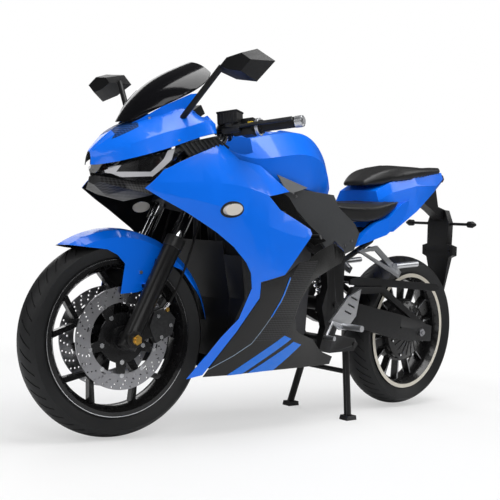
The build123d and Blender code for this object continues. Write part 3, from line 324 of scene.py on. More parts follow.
@dataclass(frozen=True)
class Finish:
    """One surface finish: base values, and how much of each shared effect it takes.

    Depths of grain and bump are in metres. Scales count repeats in a metre.
    """

    name: str
    color: Color
    roughness: float
    metallic: float = 0.0
    coat: float = 0.0
    coat_roughness: float = 0.04
    mottle: float = 0.12
    spread: float = 0.12
    wear: float = 0.0
    wear_color: Color = (0.45, 0.46, 0.48)
    dust: float = 0.0
    grain: float = 0.0
    grain_depth: float = 0.0
    weave: float = 0.0
    weave_depth: float = 0.00008
    alpha: float = 1.0
    transmission: float = 0.0
    glow: float = 0.0
    ior: float = 1.5
    specular: float = 0.35
    bump: float = 0.0
    bump_scale: float = 8.0
    bump_stretch: Triple | None = None

    def material(self, groups: Groups) -> bpy.types.Material:
        """Builds the node material of this finish, or returns the one already built.

        Args:
            groups: The shared node groups.

        Returns:
            The material.
        """
        if self.name in bpy.data.materials:
            return bpy.data.materials[self.name]
        mat = bpy.data.materials.new(self.name)
        mat.use_nodes = True
        tree = mat.node_tree
        shader = tree.nodes["Principled BSDF"]
        color = self._group(tree, groups.mottle, Scale=7.0, Amount=self.mottle, Roughness=self.roughness,
                            Spread=self.spread)
        color.inputs["Color"].default_value = (*self.color, 1)
        tree.links.new(color.outputs["Roughness"], shader.inputs["Roughness"])
        last = color.outputs["Color"]
        heights: list[tuple[Socket, float]] = []
        if self.weave:
            node = self._group(tree, groups.weave, Scale=self.weave)
            tree.links.new(last, node.inputs["Color"])
            node.inputs["Bright"].default_value = (*(min(1.0, c * 2.6 + 0.02) for c in self.color), 1)
            last = node.outputs["Color"]
            heights.append((node.outputs["Height"], self.weave_depth))
        if self.wear:
            node = self._group(tree, groups.wear, Amount=self.wear)
            node.inputs["Wear Color"].default_value = (*self.wear_color, 1)
            tree.links.new(last, node.inputs["Color"])
            last = node.outputs["Color"]
        if self.dust:
            node = self._group(tree, groups.dust, Amount=self.dust)
            tree.links.new(last, node.inputs["Color"])
            last = node.outputs["Color"]
        tree.links.new(last, shader.inputs["Base Color"])
        if self.grain:
            node = self._group(tree, groups.grain, Scale=self.grain)
            heights.append((node.outputs["Height"], self.grain_depth))
        if self.bump:
            heights.append((groups.noise(tree, self.bump_scale, 4.0, self.bump_stretch), self.bump))
        normal = None
        for height, depth in heights:
            bump = tree.nodes.new("ShaderNodeBump")
            bump.inputs["Distance"].default_value = depth
            bump.inputs["Strength"].default_value = 1.0
            tree.links.new(height, bump.inputs["Height"])
            if normal:
                tree.links.new(normal, bump.inputs["Normal"])
            normal = bump.outputs[0]
        if normal:
            tree.links.new(normal, shader.inputs["Normal"])
        shader.inputs["Metallic"].default_value = self.metallic
        shader.inputs["Coat Weight"].default_value = self.coat
        shader.inputs["Coat Roughness"].default_value = self.coat_roughness
        shader.inputs["IOR"].default_value = self.ior
        shader.inputs["Specular IOR Level"].default_value = self.specular
        shader.inputs["Alpha"].default_value = self.alpha
        shader.inputs["Transmission Weight"].default_value = self.transmission
        if self.glow:
            shader.inputs["Emission Color"].default_value = (*self.color, 1)
            shader.inputs["Emission Strength"].default_value = self.glow
        return mat

    @staticmethod
    def _group(tree: Tree, group: Tree, **values: float) -> bpy.types.Node:
        """Places a shared group in a material.

        Args:
            tree: The material's node tree.
            group: The node group.
            **values: Input names and their numbers.

        Returns:
            The group node.
        """
        node = tree.nodes.new("ShaderNodeGroup")
        node.node_tree = group
        for label, value in values.items():
            node.inputs[label].default_value = value
        return node


PAINT_BLUE = Finish("azure clear coat", (0.0, 0.155, 0.85), 0.3, coat=0.4, mottle=0.04, spread=0.04,
                    bump=0.00002, bump_scale=60.0, specular=0.2)
PANEL_GREY = Finish("dark grey satin panel", (0.042, 0.044, 0.047), 0.38, coat=0.15, wear=0.12, dust=0.04,
                    grain=900.0, grain_depth=0.00002)
PLASTIC_BLACK = Finish("black moulded plastic", (0.005, 0.005, 0.0055), 0.42, specular=0.22, wear=0.1,
                       dust=0.03, grain=700.0, grain_depth=0.00005)
GLOSS_BLACK = Finish("gloss black", (0.005, 0.005, 0.005), 0.24, coat=0.2, mottle=0.05, spread=0.04,
                     specular=0.2)
SCREEN_TINT = Finish("dark tinted screen", (0.004, 0.004, 0.005), 0.12, coat=0.1, specular=0.25, mottle=0.02,
                     spread=0.02, alpha=0.97)
LAMP_SMOKE = Finish("smoked lamp cover", (0.012, 0.012, 0.013), 0.06, coat=0.4, mottle=0.02, spread=0.02,
                    alpha=0.62)
LAMP_CLEAR = Finish("clear signal lens", (0.85, 0.8, 0.72), 0.12, coat=1.0, mottle=0.05, alpha=0.75,
                    bump=0.0003, bump_scale=220.0)
LAMP_RED = Finish("dark red lamp", (0.06, 0.004, 0.004), 0.12, coat=1.0)
LAMP_WHITE = Finish("pale light guide", (0.5, 0.5, 0.52), 0.3, coat=0.3, glow=0.04)
SEAT_COVER = Finish("black seat cover", (0.008, 0.008, 0.0085), 0.4, wear=0.05, dust=0.03, grain=420.0,
                    grain_depth=0.00016)
FRAME_SATIN = Finish("black satin coating", (0.006, 0.006, 0.0065), 0.34, specular=0.28, wear=0.2, dust=0.04,
                     bump=0.00005, bump_scale=180.0)
CASE_GREY = Finish("grey battery case", (0.06, 0.06, 0.065), 0.45, wear=0.25, dust=0.15, bump=0.00006,
                   bump_scale=150.0)
WHEEL_BLACK = Finish("gloss black wheel", (0.005, 0.005, 0.0055), 0.26, coat=0.3, specular=0.28, wear=0.12,
                     dust=0.03, bump=0.00003, bump_scale=150.0)
ALLOY = Finish("satin alloy", (0.55, 0.56, 0.58), 0.36, metallic=1.0, wear=0.2, wear_color=(0.8, 0.8, 0.82),
               bump=0.00005, bump_scale=260.0)
CHROME = Finish("polished chrome", (0.72, 0.73, 0.75), 0.1, metallic=1.0, spread=0.05)
STEEL = Finish("brushed steel", (0.4, 0.4, 0.42), 0.3, metallic=1.0, spread=0.2, bump=0.00003,
               bump_scale=90.0, bump_stretch=(1.0, 1.0, 14.0))
STEEL_BRIGHT = Finish("bright steel", (0.7, 0.71, 0.73), 0.2, metallic=1.0, bump=0.00002, bump_scale=300.0)
GOLD = Finish("gold anodised nut", (0.75, 0.45, 0.1), 0.25, metallic=1.0)
CALIPER = Finish("black caliper", (0.006, 0.006, 0.0065), 0.32, specular=0.28, wear=0.25, dust=0.04,
                 bump=0.00008, bump_scale=140.0)
GRIP_RUBBER = Finish("grip rubber", (0.007, 0.007, 0.007), 0.55, specular=0.25, dust=0.03, grain=500.0,
                     grain_depth=0.0001)
TYRE_RUBBER = Finish("tyre rubber", (0.009, 0.0095, 0.0105), 0.5, specular=0.3, mottle=0.3, dust=0.06,
                     bump=0.00012, bump_scale=120.0)
MIRROR = Finish("mirror silver", (0.82, 0.84, 0.86), 0.03, metallic=1.0, mottle=0.02, spread=0.02)
CARBON = Finish("woven carbon", (0.005, 0.005, 0.0055), 0.38, specular=0.22, weave=620.0)
VENT_BLUE = Finish("dark vent mesh", (0.0, 0.018, 0.08), 0.4, specular=0.2, weave=620.0)
STRIPE_BLUE = Finish("blue stripe", (0.0, 0.16, 0.72), 0.3, coat=0.4, mottle=0.05, specular=0.2)
MARK_YELLOW = Finish("yellow switch", (0.8, 0.55, 0.02), 0.35)
TRIM_GREY = Finish("grey satin trim", (0.13, 0.135, 0.14), 0.4, wear=0.15, grain=900.0, grain_depth=0.00002)
EDGE_SILVER = Finish("pale edge line", (0.2, 0.27, 0.36), 0.3, coat=0.6, mottle=0.1)
RING_CREAM = Finish("cream rim ring", (0.68, 0.64, 0.55), 0.35, coat=0.5, mottle=0.1)


@dataclass(frozen=True)
class Dressing:
    """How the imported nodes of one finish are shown.

    The bevel is the width of the softened edges, and smooth the largest angle, in degrees,
    that is shaded round. Painted panels have a small one, so that their creases stay crisp.
    """

    finish: Finish
    slot: str
    nodes: tuple[str, ...]
    bevel: float = 0.0008
    smooth: float = 34.0


DRESSINGS: tuple[Dressing, ...] = (
    Dressing(PAINT_BLUE, "blue_paint",
             ("nose_cowl", "side_fairing_left", "side_fairing_right", "tank", "tail_cowl", "front_fender"),
             0.0008, 15.0),
    Dressing(PANEL_GREY, "dark_panel", ("frame_covers",)),
    Dressing(GLOSS_BLACK, "dark_panel", ("lower_fairing_left", "lower_fairing_right", "belly_pan")),
    Dressing(PLASTIC_BLACK, "black_plastic",
             ("plate_holder", "rear_hugger", "front_liner", "dash", "bar_controls", "mirrors")),
    Dressing(CARBON, "black_plastic", ("headlight_surround",)),
    Dressing(SCREEN_TINT, "screen_tint", ("windscreen",)),
    Dressing(LAMP_SMOKE, "lamp_glass", ("headlights",)),
    Dressing(LAMP_CLEAR, "signal_glass", ("side_signals",)),
    Dressing(PLASTIC_BLACK, "signal_glass", ("rear_signals",)),
    Dressing(LAMP_RED, "rear_lamp", ("tail_light",)),
    Dressing(SEAT_COVER, "seat_cover", ("rider_seat", "passenger_seat"), 0.004),
    Dressing(FRAME_SATIN, "frame_black",
             ("frame", "subframe", "swingarm", "centre_stand", "fairing_stay", "rear_shock", "triple_clamps",
              "fork_legs", "clip_ons"), 0.0015),
    Dressing(CASE_GREY, "battery_case", ("battery_block",), 0.002),
    Dressing(WHEEL_BLACK, "wheel_black", ("front_rim", "rear_rim", "hub_motor")),
    Dressing(ALLOY, "alloy", ("rider_footrests", "passenger_rests", "charge_lid")),
    Dressing(CHROME, "fork_chrome", ("fork_tubes",)),
    Dressing(STEEL, "steel", ("front_discs", "front_axle", "rear_axle"), 0.0004),
    Dressing(CALIPER, "caliper", ("brake_calipers",), 0.0015),
    Dressing(GRIP_RUBBER, "grip_rubber", ("grips",)),
    Dressing(TYRE_RUBBER, "tyre_rubber", ("front_tyre", "rear_tyre"), 0.0, 60.0),
    Dressing(MIRROR, "mirror_silver", ("mirror_glass",), 0.0),
)


@dataclass(frozen=True)
class InsideRule:
    """Line across the machine that a panel's inner faces look at, in metres.

    A coordinate that is None is that of the face, so that the face is judged across it only.
    """

    x: float | None = None
    z: float | None = None

    def looks_in(self, face: bmesh.types.BMFace) -> bool:
        """Whether a face looks towards the line.

        Args:
            face: The face.

        Returns:
            True for an inner face.
        """
        centre = face.calc_center_median()
        line = Vector((centre.x if self.x is None else self.x, 0.0, centre.z if self.z is None else self.z))
        return face.normal.dot(centre - line) < 0


INSIDE_RULES = {
    "side_fairing_left": InsideRule(), "side_fairing_right": InsideRule(),
    "lower_fairing_left": InsideRule(), "lower_fairing_right": InsideRule(),
    "nose_cowl": InsideRule(z=0.80), "front_fender": InsideRule(0.70, 0.30),
}
SHOWN_ELSEWHERE = ("front_discs", "rider_seat", "passenger_seat", "rear_shock", "front_tyre", "rear_tyre")


@dataclass(frozen=True)
class Lamp:
    """One soft square lamp: place and aim in metres, edge of its square, power in watts."""

    name: str
    place: Triple
    aim: Triple
    size: float
    power: float


LAMPS = (
    Lamp("key", (2.2, 3.4, 3.4), (0, 0, 0.5), 2.4, 62),
    Lamp("fill", (4.2, -0.6, 2.4), (0.3, 0, 0.6), 2.4, 34),
    Lamp("top", (-0.2, 0.6, 4.2), (0, 0, 0.5), 2.8, 134),
    Lamp("rear", (-3.6, 1.8, 2.6), (-0.4, 0, 0.6), 2.0, 36),
    Lamp("far side", (-0.8, -3.6, 2.4), (0, 0, 0.5), 2.4, 36),
)


@dataclass
class Studio:
    """Camera, lamps, world and floor. The camera stands where the photograph was taken."""

    camera_at: Triple = (2.1514, 2.0763, 0.5783)
    heading: float = 43.658         # from -Y towards -X, degrees
    pitch: float = 0.026            # degrees
    roll: float = 4.402             # degrees
    focal_px: float = 849.61        # focal length in pixels of the photograph
    sensor: float = 36.0            # millimetres
    clip: Pair = (0.05, 60.0)
    ambient: float = 0.24           # world light on matt surfaces
    gloss_light: float = 0.06       # world light in reflections
    floor_color: Color = (0.86, 0.86, 0.86)
    floor_roughness: float = 0.75
    floor_drop: float = 0.0005      # the floor's depth under the tyres
    floor_white: float = 0.5        # share of plain white in the floor near the machine
    floor_radius: float = 9.0
    fade_from: float = 1.0          # distance where the floor starts to turn white
    fade_to: float = 2.1            # and where it is white

    def camera(self) -> None:
        """Makes the camera at the photograph's viewpoint."""
        phi, p, rho = (math.radians(a) for a in (self.heading, self.pitch, self.roll))
        ahead = Vector((-math.sin(phi) * math.cos(p), -math.cos(phi) * math.cos(p), math.sin(p)))
        level = Vector((-math.cos(phi), math.sin(phi), 0))
        above = level.cross(ahead)
        right = level * math.cos(rho) + above * math.sin(rho)
        up = above * math.cos(rho) - level * math.sin(rho)
        data = bpy.data.cameras.new("camera")
        data.sensor_width = self.sensor
        data.lens = self.focal_px * self.sensor / IMAGE_PX
        data.clip_start, data.clip_end = self.clip
        cam = bpy.data.objects.new("camera", data)
        turn = Matrix((right, up, -ahead)).transposed().to_4x4()
        cam.matrix_world = Matrix.Translation(self.camera_at) @ turn
        bpy.context.scene.collection.objects.link(cam)
        bpy.context.scene.camera = cam

    @staticmethod
    def lamp(plan: Lamp) -> None:
        """Adds one lamp.

        Args:
            plan: The lamp's sizes.
        """
        data = bpy.data.lights.new(plan.name, "AREA")
        data.shape, data.size, data.energy = "SQUARE", plan.size, plan.power
        lamp = bpy.data.objects.new(plan.name, data)
        lamp.location = plan.place
        lamp.rotation_mode = "QUATERNION"
        lamp.rotation_quaternion = (Vector(plan.aim) - Vector(plan.place)).to_track_quat("-Z", "Y")
        bpy.context.scene.collection.objects.link(lamp)

    def world(self) -> None:
        """White world for the camera, gloss and glass, and a plain grey light for the rest."""
        world = bpy.data.worlds.new("studio")
        world.use_nodes = True
        tree = world.node_tree
        back = tree.nodes["Background"]
        path = tree.nodes.new("ShaderNodeLightPath")
        through = path.outputs["Is Transmission Ray"]
        seen = Groups.calc(tree, "MAXIMUM", path.outputs["Is Camera Ray"], through)
        soft = Groups.calc(tree, "MULTIPLY", path.outputs["Is Diffuse Ray"], self.ambient)
        strength = Groups.calc(tree, "MAXIMUM", seen, Groups.calc(tree, "MAXIMUM", soft, self.gloss_light))
        tree.links.new(strength, back.inputs["Strength"])
        back.inputs["Color"].default_value = (1, 1, 1, 1)
        bpy.context.scene.world = world

    def floor(self) -> None:
        """Pale floor that keeps the shadow and fades to white away from the machine."""
        bm = bmesh.new()
        bmesh.ops.create_circle(bm, cap_ends=True, segments=96, radius=self.floor_radius)
        mesh = bpy.data.meshes.new("floor")
        bm.to_mesh(mesh)
        bm.free()
        floor = bpy.data.objects.new("floor", mesh)
        floor.location.z = -self.floor_drop
        bpy.context.scene.collection.objects.link(floor)
        mat = bpy.data.materials.new("pale floor")
        mat.use_nodes = True
        tree = mat.node_tree
        shader = tree.nodes["Principled BSDF"]
        shader.inputs["Base Color"].default_value = (*self.floor_color, 1)
        shader.inputs["Roughness"].default_value = self.floor_roughness
        white = tree.nodes.new("ShaderNodeEmission")
        coords = tree.nodes.new("ShaderNodeTexCoord")
        length = tree.nodes.new("ShaderNodeVectorMath")
        length.operation = "LENGTH"
        tree.links.new(coords.outputs["Object"], length.inputs[0])
        span = tree.nodes.new("ShaderNodeMapRange")
        span.interpolation_type = "SMOOTHSTEP"
        span.inputs["From Min"].default_value = self.fade_from
        span.inputs["From Max"].default_value = self.fade_to
        tree.links.new(length.outputs["Value"], span.inputs["Value"])
        path = tree.nodes.new("ShaderNodeLightPath")
        seen = path.outputs["Is Camera Ray"]
        mix = tree.nodes.new("ShaderNodeMixShader")
        white_share = Groups.calc(tree, "MAXIMUM", span.outputs[0], self.floor_white)
        tree.links.new(Groups.calc(tree, "MULTIPLY", white_share, seen), mix.inputs[0])
        tree.links.new(shader.outputs[0], mix.inputs[1])
        tree.links.new(white.outputs[0], mix.inputs[2])
        tree.links.new(mix.outputs[0], tree.nodes["Material Output"].inputs["Surface"])
        mesh.materials.append(mat)

    def build(self) -> None:
        """Builds camera, lamps, world and floor."""
        self.camera()
        for plan in LAMPS:
            self.lamp(plan)
        self.world()
        self.floor()
        bpy.context.scene.view_settings.view_transform = "Standard"


class Workshop:
    """Makes finished pieces out of meshes and seats them on their bodies."""

    def __init__(self, frame: dict) -> None:
        """Keeps the frame and builds the shared groups.
        """
        self.frame = frame
        self.groups = Groups()

    def body_of(self, node: str) -> str:
        """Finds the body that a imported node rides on.

        Args:
            node: The node's name.

        Returns:
            The body's name.
        """
        return body_of(self.frame["nodes"][node])[0]

    def finish(self, obj: bpy.types.Object, finishes: Sequence[Finish]) -> None:
        """Gives an object its materials.

        Args:
            obj: The object.
            finishes: One finish for each material index of its faces.
        """
        for item in finishes:
            obj.data.materials.append(item.material(self.groups))

    def piece(self, name: str, bm: bmesh.types.BMesh, finishes: Sequence[Finish], body: str, slot: str,
              replaces: Sequence[str] = (), smooth: float = 34.0, bevel: float = 0.0) -> bpy.types.Object:
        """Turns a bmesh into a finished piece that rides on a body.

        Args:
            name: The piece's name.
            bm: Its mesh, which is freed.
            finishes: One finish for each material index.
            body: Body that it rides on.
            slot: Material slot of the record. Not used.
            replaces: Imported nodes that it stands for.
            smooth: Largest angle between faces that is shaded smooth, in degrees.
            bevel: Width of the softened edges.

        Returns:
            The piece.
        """
        mesh = bpy.data.meshes.new(name)
        bm.to_mesh(mesh)
        bm.free()
        for face in mesh.polygons:
            face.use_smooth = True
        mesh.set_sharp_from_angle(angle=math.radians(smooth))
        obj = bpy.data.objects.new(name, mesh)
        bpy.context.scene.collection.objects.link(obj)
        self.finish(obj, finishes)
        if bevel:
            mod = obj.modifiers.new("soft edges", "BEVEL")
            mod.width, mod.segments, mod.limit_method = bevel, 2, "ANGLE"
            mod.angle_limit, mod.harden_normals = math.radians(smooth + 4), True
        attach(obj, body)
        if replaces:
            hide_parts(*replaces)
        LOG.info("%s: %d faces on %s", name, len(mesh.polygons), body)
        return obj

    def node_mesh(self, node: str) -> bmesh.types.BMesh:
        """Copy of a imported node's mesh, with its doubles merged and its flats joined.

        Args:
            node: The node's name.

        Returns:
            The merged copy.
        """
        bm = bmesh.new()
        bm.from_mesh(self.frame["nodes"][node].data)
        bmesh.ops.remove_doubles(bm, verts=bm.verts, dist=MERGE)
        bmesh.ops.dissolve_limit(bm, angle_limit=FLAT, verts=bm.verts, edges=bm.edges,
                                 use_dissolve_boundaries=False)
        return bm

    def dress(self, plan: Dressing, skip: Iterable[str]) -> None:
        """Shows the nodes of one finish with softened edges.

        Args:
            plan: Finish, slot and nodes.
            skip: Nodes that other pieces stand for.
        """
        for node in plan.nodes:
            if node in skip:
                continue
            bm, finishes = self.node_mesh(node), [plan.finish]
            if node in INSIDE_RULES:
                for face in bm.faces:
                    face.material_index = int(INSIDE_RULES[node].looks_in(face))
                finishes.append(PLASTIC_BLACK)
            self.piece(f"{node}_shell", bm, finishes, self.body_of(node), plan.slot, [node], plan.smooth,
                       plan.bevel)


MM = 0.001
FORK_ANGLE = math.radians(25.0)
FORK_OFFSET = 0.038                     # axle ahead of the steering axis
BARS_REST = math.radians(-8.0)          # the bars rest turned to the rider's right
AXLE = Vector((0.693, 0.0, 0.293))      # front axle
STEER_UP = Vector((-math.sin(FORK_ANGLE), 0.0, math.cos(FORK_ANGLE)))
STEER_AHEAD = Vector((math.cos(FORK_ANGLE), 0.0, math.sin(FORK_ANGLE)))
STEER_POINT = AXLE - STEER_AHEAD * FORK_OFFSET
TURNED = (Matrix.Translation(STEER_POINT) @ Matrix.Rotation(BARS_REST, 4, STEER_UP)
          @ Matrix.Translation(-STEER_POINT))
FRONT_WHEEL = TURNED @ Matrix.Translation(AXLE)
REAR_WHEEL = Matrix.Translation((-0.693, 0.0, 0.305))
SIDES = (1.0, -1.0)                     # the rider's left and right


class Shapes:
    """Small mesh shapes added to a growing bmesh. Sizes are in metres."""

    def __init__(self) -> None:
        """Starts an empty mesh."""
        self.bm = bmesh.new()

    def bar(self, start: Sequence[float], end: Sequence[float], radius: float, segments: int = 20,
            tip: float | None = None, index: int = 0) -> None:
        """Adds a round bar or cone between two points.

        Args:
            start: First end.
            end: Last end.
            radius: Radius at the first end.
            segments: Sides.
            tip: Radius at the last end, if it differs.
            index: Material index of its faces.
        """
        start, end = Vector(start), Vector(end)
        turn = (end - start).to_track_quat("Z", "Y").to_matrix().to_4x4()
        made = bmesh.ops.create_cone(
            self.bm, cap_ends=True, segments=segments, radius1=radius, radius2=radius if tip is None else tip,
            depth=(end - start).length, matrix=Matrix.Translation((start + end) / 2) @ turn)
        self._mark(made["verts"], index)

    def ball(self, centre: Sequence[float], radius: float, index: int = 0) -> None:
        """Adds a ball.

        Args:
            centre: Its centre.
            radius: Its radius.
            index: Material index of its faces.
        """
        made = bmesh.ops.create_uvsphere(
            self.bm, u_segments=24, v_segments=14, radius=radius, matrix=Matrix.Translation(centre))
        self._mark(made["verts"], index)

    def box(self, centre: Sequence[float], size: Sequence[float], turn: Matrix | None = None,
            index: int = 0) -> None:
        """Adds a box.

        Args:
            centre: Its centre.
            size: Its three edges.
            turn: Rotation, as a 4 x 4 matrix.
            index: Material index of its faces.
        """
        place = Matrix.Translation(centre) @ (turn or Matrix.Identity(4)) @ Matrix.Diagonal((*size, 1.0))
        made = bmesh.ops.create_cube(self.bm, size=1.0, matrix=place)
        self._mark(made["verts"], index)

    def plate(self, corners: Sequence[Sequence[float]], thickness: Sequence[float], index: int = 0) -> None:
        """Adds a flat plate.

        Args:
            corners: Its outline.
            thickness: Vector from one face to the other.
            index: Material index of its faces.
        """
        verts = [self.bm.verts.new(c) for c in corners]
        face = self.bm.faces.new(verts)
        grown = bmesh.ops.extrude_face_region(self.bm, geom=[face])
        moved = [v for v in grown["geom"] if isinstance(v, bmesh.types.BMVert)]
        bmesh.ops.translate(self.bm, verts=moved, vec=Vector(thickness))
        self._mark(verts + moved, index)

    def lathe(self, profile: Sequence[Pair], segments: int = 96, index: int = 0) -> None:
        """Spins a closed (radius, y) profile about the Y axis.

        Args:
            profile: Its corners.
            segments: Steps round the axis.
            index: Material index of its faces.
        """
        verts = [self.bm.verts.new((r, y, 0.0)) for r, y in profile]
        edges = [self.bm.edges.new((a, b)) for a, b in zip(verts, verts[1:] + verts[:1])]
        made = bmesh.ops.spin(self.bm, geom=verts + edges, cent=(0, 0, 0), axis=(0, 1, 0), angle=math.tau,
                              steps=segments, use_merge=True)
        self._mark([v for v in made["geom_last"] if isinstance(v, bmesh.types.BMVert)], index)

    def spokes(self, count: int, near: Pair, far: Pair, radius: float, segments: int, phase: float = 0.0,
               index: int = 0) -> None:
        """Adds like bars at even angles round the Y axis, on both sides of a wheel.

        Args:
            count: Bars on each side.
            near: Distance from the axis and place along it of each bar's first end.
            far: The same of its last end.
            radius: Radius of a bar.
            segments: Sides of a bar.
            phase: Turn of the first bar, as a share of the step.
            index: Material index of the faces.
        """
        for side in SIDES:
            for k in range(count):
                a = math.tau * (k + phase) / count
                x, z = math.sin(a), math.cos(a)
                start, end = ((r * x, side * y, r * z) for r, y in (near, far))
                self.bar(start, end, radius, segments, None, index)

    def rings(self, inner: float, outer: float, y: float, depth: float) -> None:
        """Adds a thin flat ring on each side of a wheel.

        Args:
            inner: Its inner radius.
            outer: Its outer radius.
            y: Place of its outer face along the axis.
            depth: Its thickness.
        """
        for side in SIDES:
            face, back = side * y, side * (y - depth)
            self.lathe([(inner, face), (outer, face), (outer, back), (inner, back)])

    def tube(self, path: Sequence[Sequence[float]], radius: float, segments: int = 10,
             index: int = 0) -> None:
        """Adds a round tube along a path.

        Args:
            path: Its centreline.
            radius: Its radius.
            segments: Sides.
            index: Material index of its faces.
        """
        points = [Vector(p) for p in path]
        rings = []
        for k, point in enumerate(points):
            ahead = (points[min(k + 1, len(points) - 1)] - points[max(k - 1, 0)]).normalized()
            turn = ahead.to_track_quat("Z", "Y").to_matrix().to_4x4()
            ends = (0, len(points) - 1)
            made = bmesh.ops.create_circle(self.bm, cap_ends=k in ends, segments=segments, radius=radius,
                                           matrix=Matrix.Translation(point) @ turn)
            rings.append(made["verts"])
        for first, last in zip(rings, rings[1:]):
            for a in range(segments):
                b = (a + 1) % segments
                self.bm.faces.new((first[a], first[b], last[b], last[a]))
        self._mark([v for ring in rings for v in ring], index)

    @staticmethod
    def _mark(verts: Iterable[bmesh.types.BMVert], index: int) -> None:
        """Sets the material index of the faces round some vertices.

        Args:
            verts: The vertices.
            index: The material index.
        """
        if index:
            for vert in verts:
                for face in vert.link_faces:
                    face.material_index = index

    def mirror(self) -> None:
        """Adds the twin of everything on the rider's right."""
        geom = self.bm.verts[:] + self.bm.edges[:] + self.bm.faces[:]
        copy = bmesh.ops.duplicate(self.bm, geom=geom)["geom"]
        verts = [v for v in copy if isinstance(v, bmesh.types.BMVert)]
        bmesh.ops.scale(self.bm, vec=(1, -1, 1), verts=verts)
        bmesh.ops.reverse_faces(self.bm, faces=[f for f in copy if isinstance(f, bmesh.types.BMFace)])

    def done(self, place: Matrix | None = None) -> bmesh.types.BMesh:
        """Faces outward, moved into place.

        Args:
            place: Matrix of the move.

        Returns:
            The finished mesh.
        """
        bmesh.ops.recalc_face_normals(self.bm, faces=self.bm.faces)
        if place:
            bmesh.ops.transform(self.bm, matrix=place, verts=self.bm.verts)
        return self.bm


@dataclass
class Skins:
    """Thin layers laid on a packed panel, cut to side-view outlines in millimetres."""

    shop: Workshop
    lift: float = 0.0007
    thickness: float = 0.0005
    weld: float = 2e-5          # edges of neighbouring outlines closer than this are one
    facing_least: float = 0.12  # least share of a face's normal along the facing direction

    def sheet(self, node: str, outline: Sequence[Pair], side: float, facing: Triple) -> bpy.types.Mesh:
        """Part of a node's outer surface inside one convex outline.

        Args:
            node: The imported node.
            outline: Convex (x, z) outline.
            side: 1 for the rider's left, -1 for the right.
            facing: Direction that the kept faces look along, on the left.

        Returns:
            The cut surface as a mesh.
        """
        bm = bmesh.new()
        bm.from_mesh(self.shop.frame["nodes"][node].data)
        bmesh.ops.remove_doubles(bm, verts=bm.verts, dist=MERGE)
        centre = Vector((sum(x for x, _ in outline), 0, sum(z for _, z in outline))) / len(outline)
        corners = [Vector((x, 0, z)) for x, z in outline]
        for a, b in zip(corners, corners[1:] + corners[:1]):
            out = Vector((b.z - a.z, 0, a.x - b.x))
            if out.dot(centre - a) > 0:
                out.negate()
            bmesh.ops.bisect_plane(bm, geom=bm.verts[:] + bm.edges[:] + bm.faces[:], plane_co=a * MM,
                                   plane_no=out, clear_outer=True)
        look = Vector((facing[0], facing[1] * side, facing[2]))
        hidden = [f for f in bm.faces
                  if f.normal.dot(look) < self.facing_least or f.calc_center_median().y * side < 0]
        bmesh.ops.delete(bm, geom=hidden, context="FACES")
        mesh = bpy.data.meshes.new("cut")
        bm.to_mesh(mesh)
        bm.free()
        return mesh

    def lay(self, name: str, node: str, outlines: Sequence[Sequence[Pair]], finish: Finish, slot: str,
            lift: float | None = None, facing: Triple = (0.0, 1.0, 0.0)) -> None:
        """Lays a chain of outlines on a panel and on its twin.

        Args:
            name: The piece's name.
            node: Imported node; a name that ends in _left has its twin dressed too.
            outlines: Convex (x, z) outlines that meet edge to edge.
            finish: Its finish.
            slot: Material slot of the record.
            lift: How far it stands off the panel, if not as usual.
            facing: Direction that the dressed faces look along, on the left.
        """
        bm = bmesh.new()
        for side in SIDES:
            source = node if side > 0 else node.replace("_left", "_right")
            for outline in outlines:
                mesh = self.sheet(source, outline, side, facing)
                bm.from_mesh(mesh)
                bpy.data.meshes.remove(mesh)
        bmesh.ops.remove_doubles(bm, verts=bm.verts, dist=self.weld)
        bm.normal_update()
        rise = self.lift if lift is None else lift
        for vert in bm.verts:
            vert.co += vert.normal * rise
        bmesh.ops.solidify(bm, geom=bm.faces, thickness=self.thickness)
        bmesh.ops.recalc_face_normals(bm, faces=bm.faces)
        self.shop.piece(name, bm, [finish], self.shop.body_of(node), slot)


# Side-view outlines on the lower panel, as (x, z) in millimetres.
STRIPE_UPPER = [(400, 186), (345, 186), (141, 303), (179, 315)]
STRIPE_LOWER = [(327, 186), (221, 186), (82, 282), (126, 293)]
EDGE_ROUTE = [(487, 203), (379, 254), (318, 291), (293, 324), (262, 372), (233, 424), (205, 500)]
EDGE_ROUTE_BLUE = [(260, 376), (236, 424), (208, 503)]
CARBON_PATCHES = [
    [(310, 300), (290, 326), (175, 322), (185, 300)], [(288, 329), (262, 370), (150, 372), (170, 323)],
    [(260, 373), (232, 424), (136, 431), (150, 373)], [(230, 427), (204, 500), (96, 500), (136, 432)],
    [(168, 555), (204, 502), (96, 501), (68, 562)]]


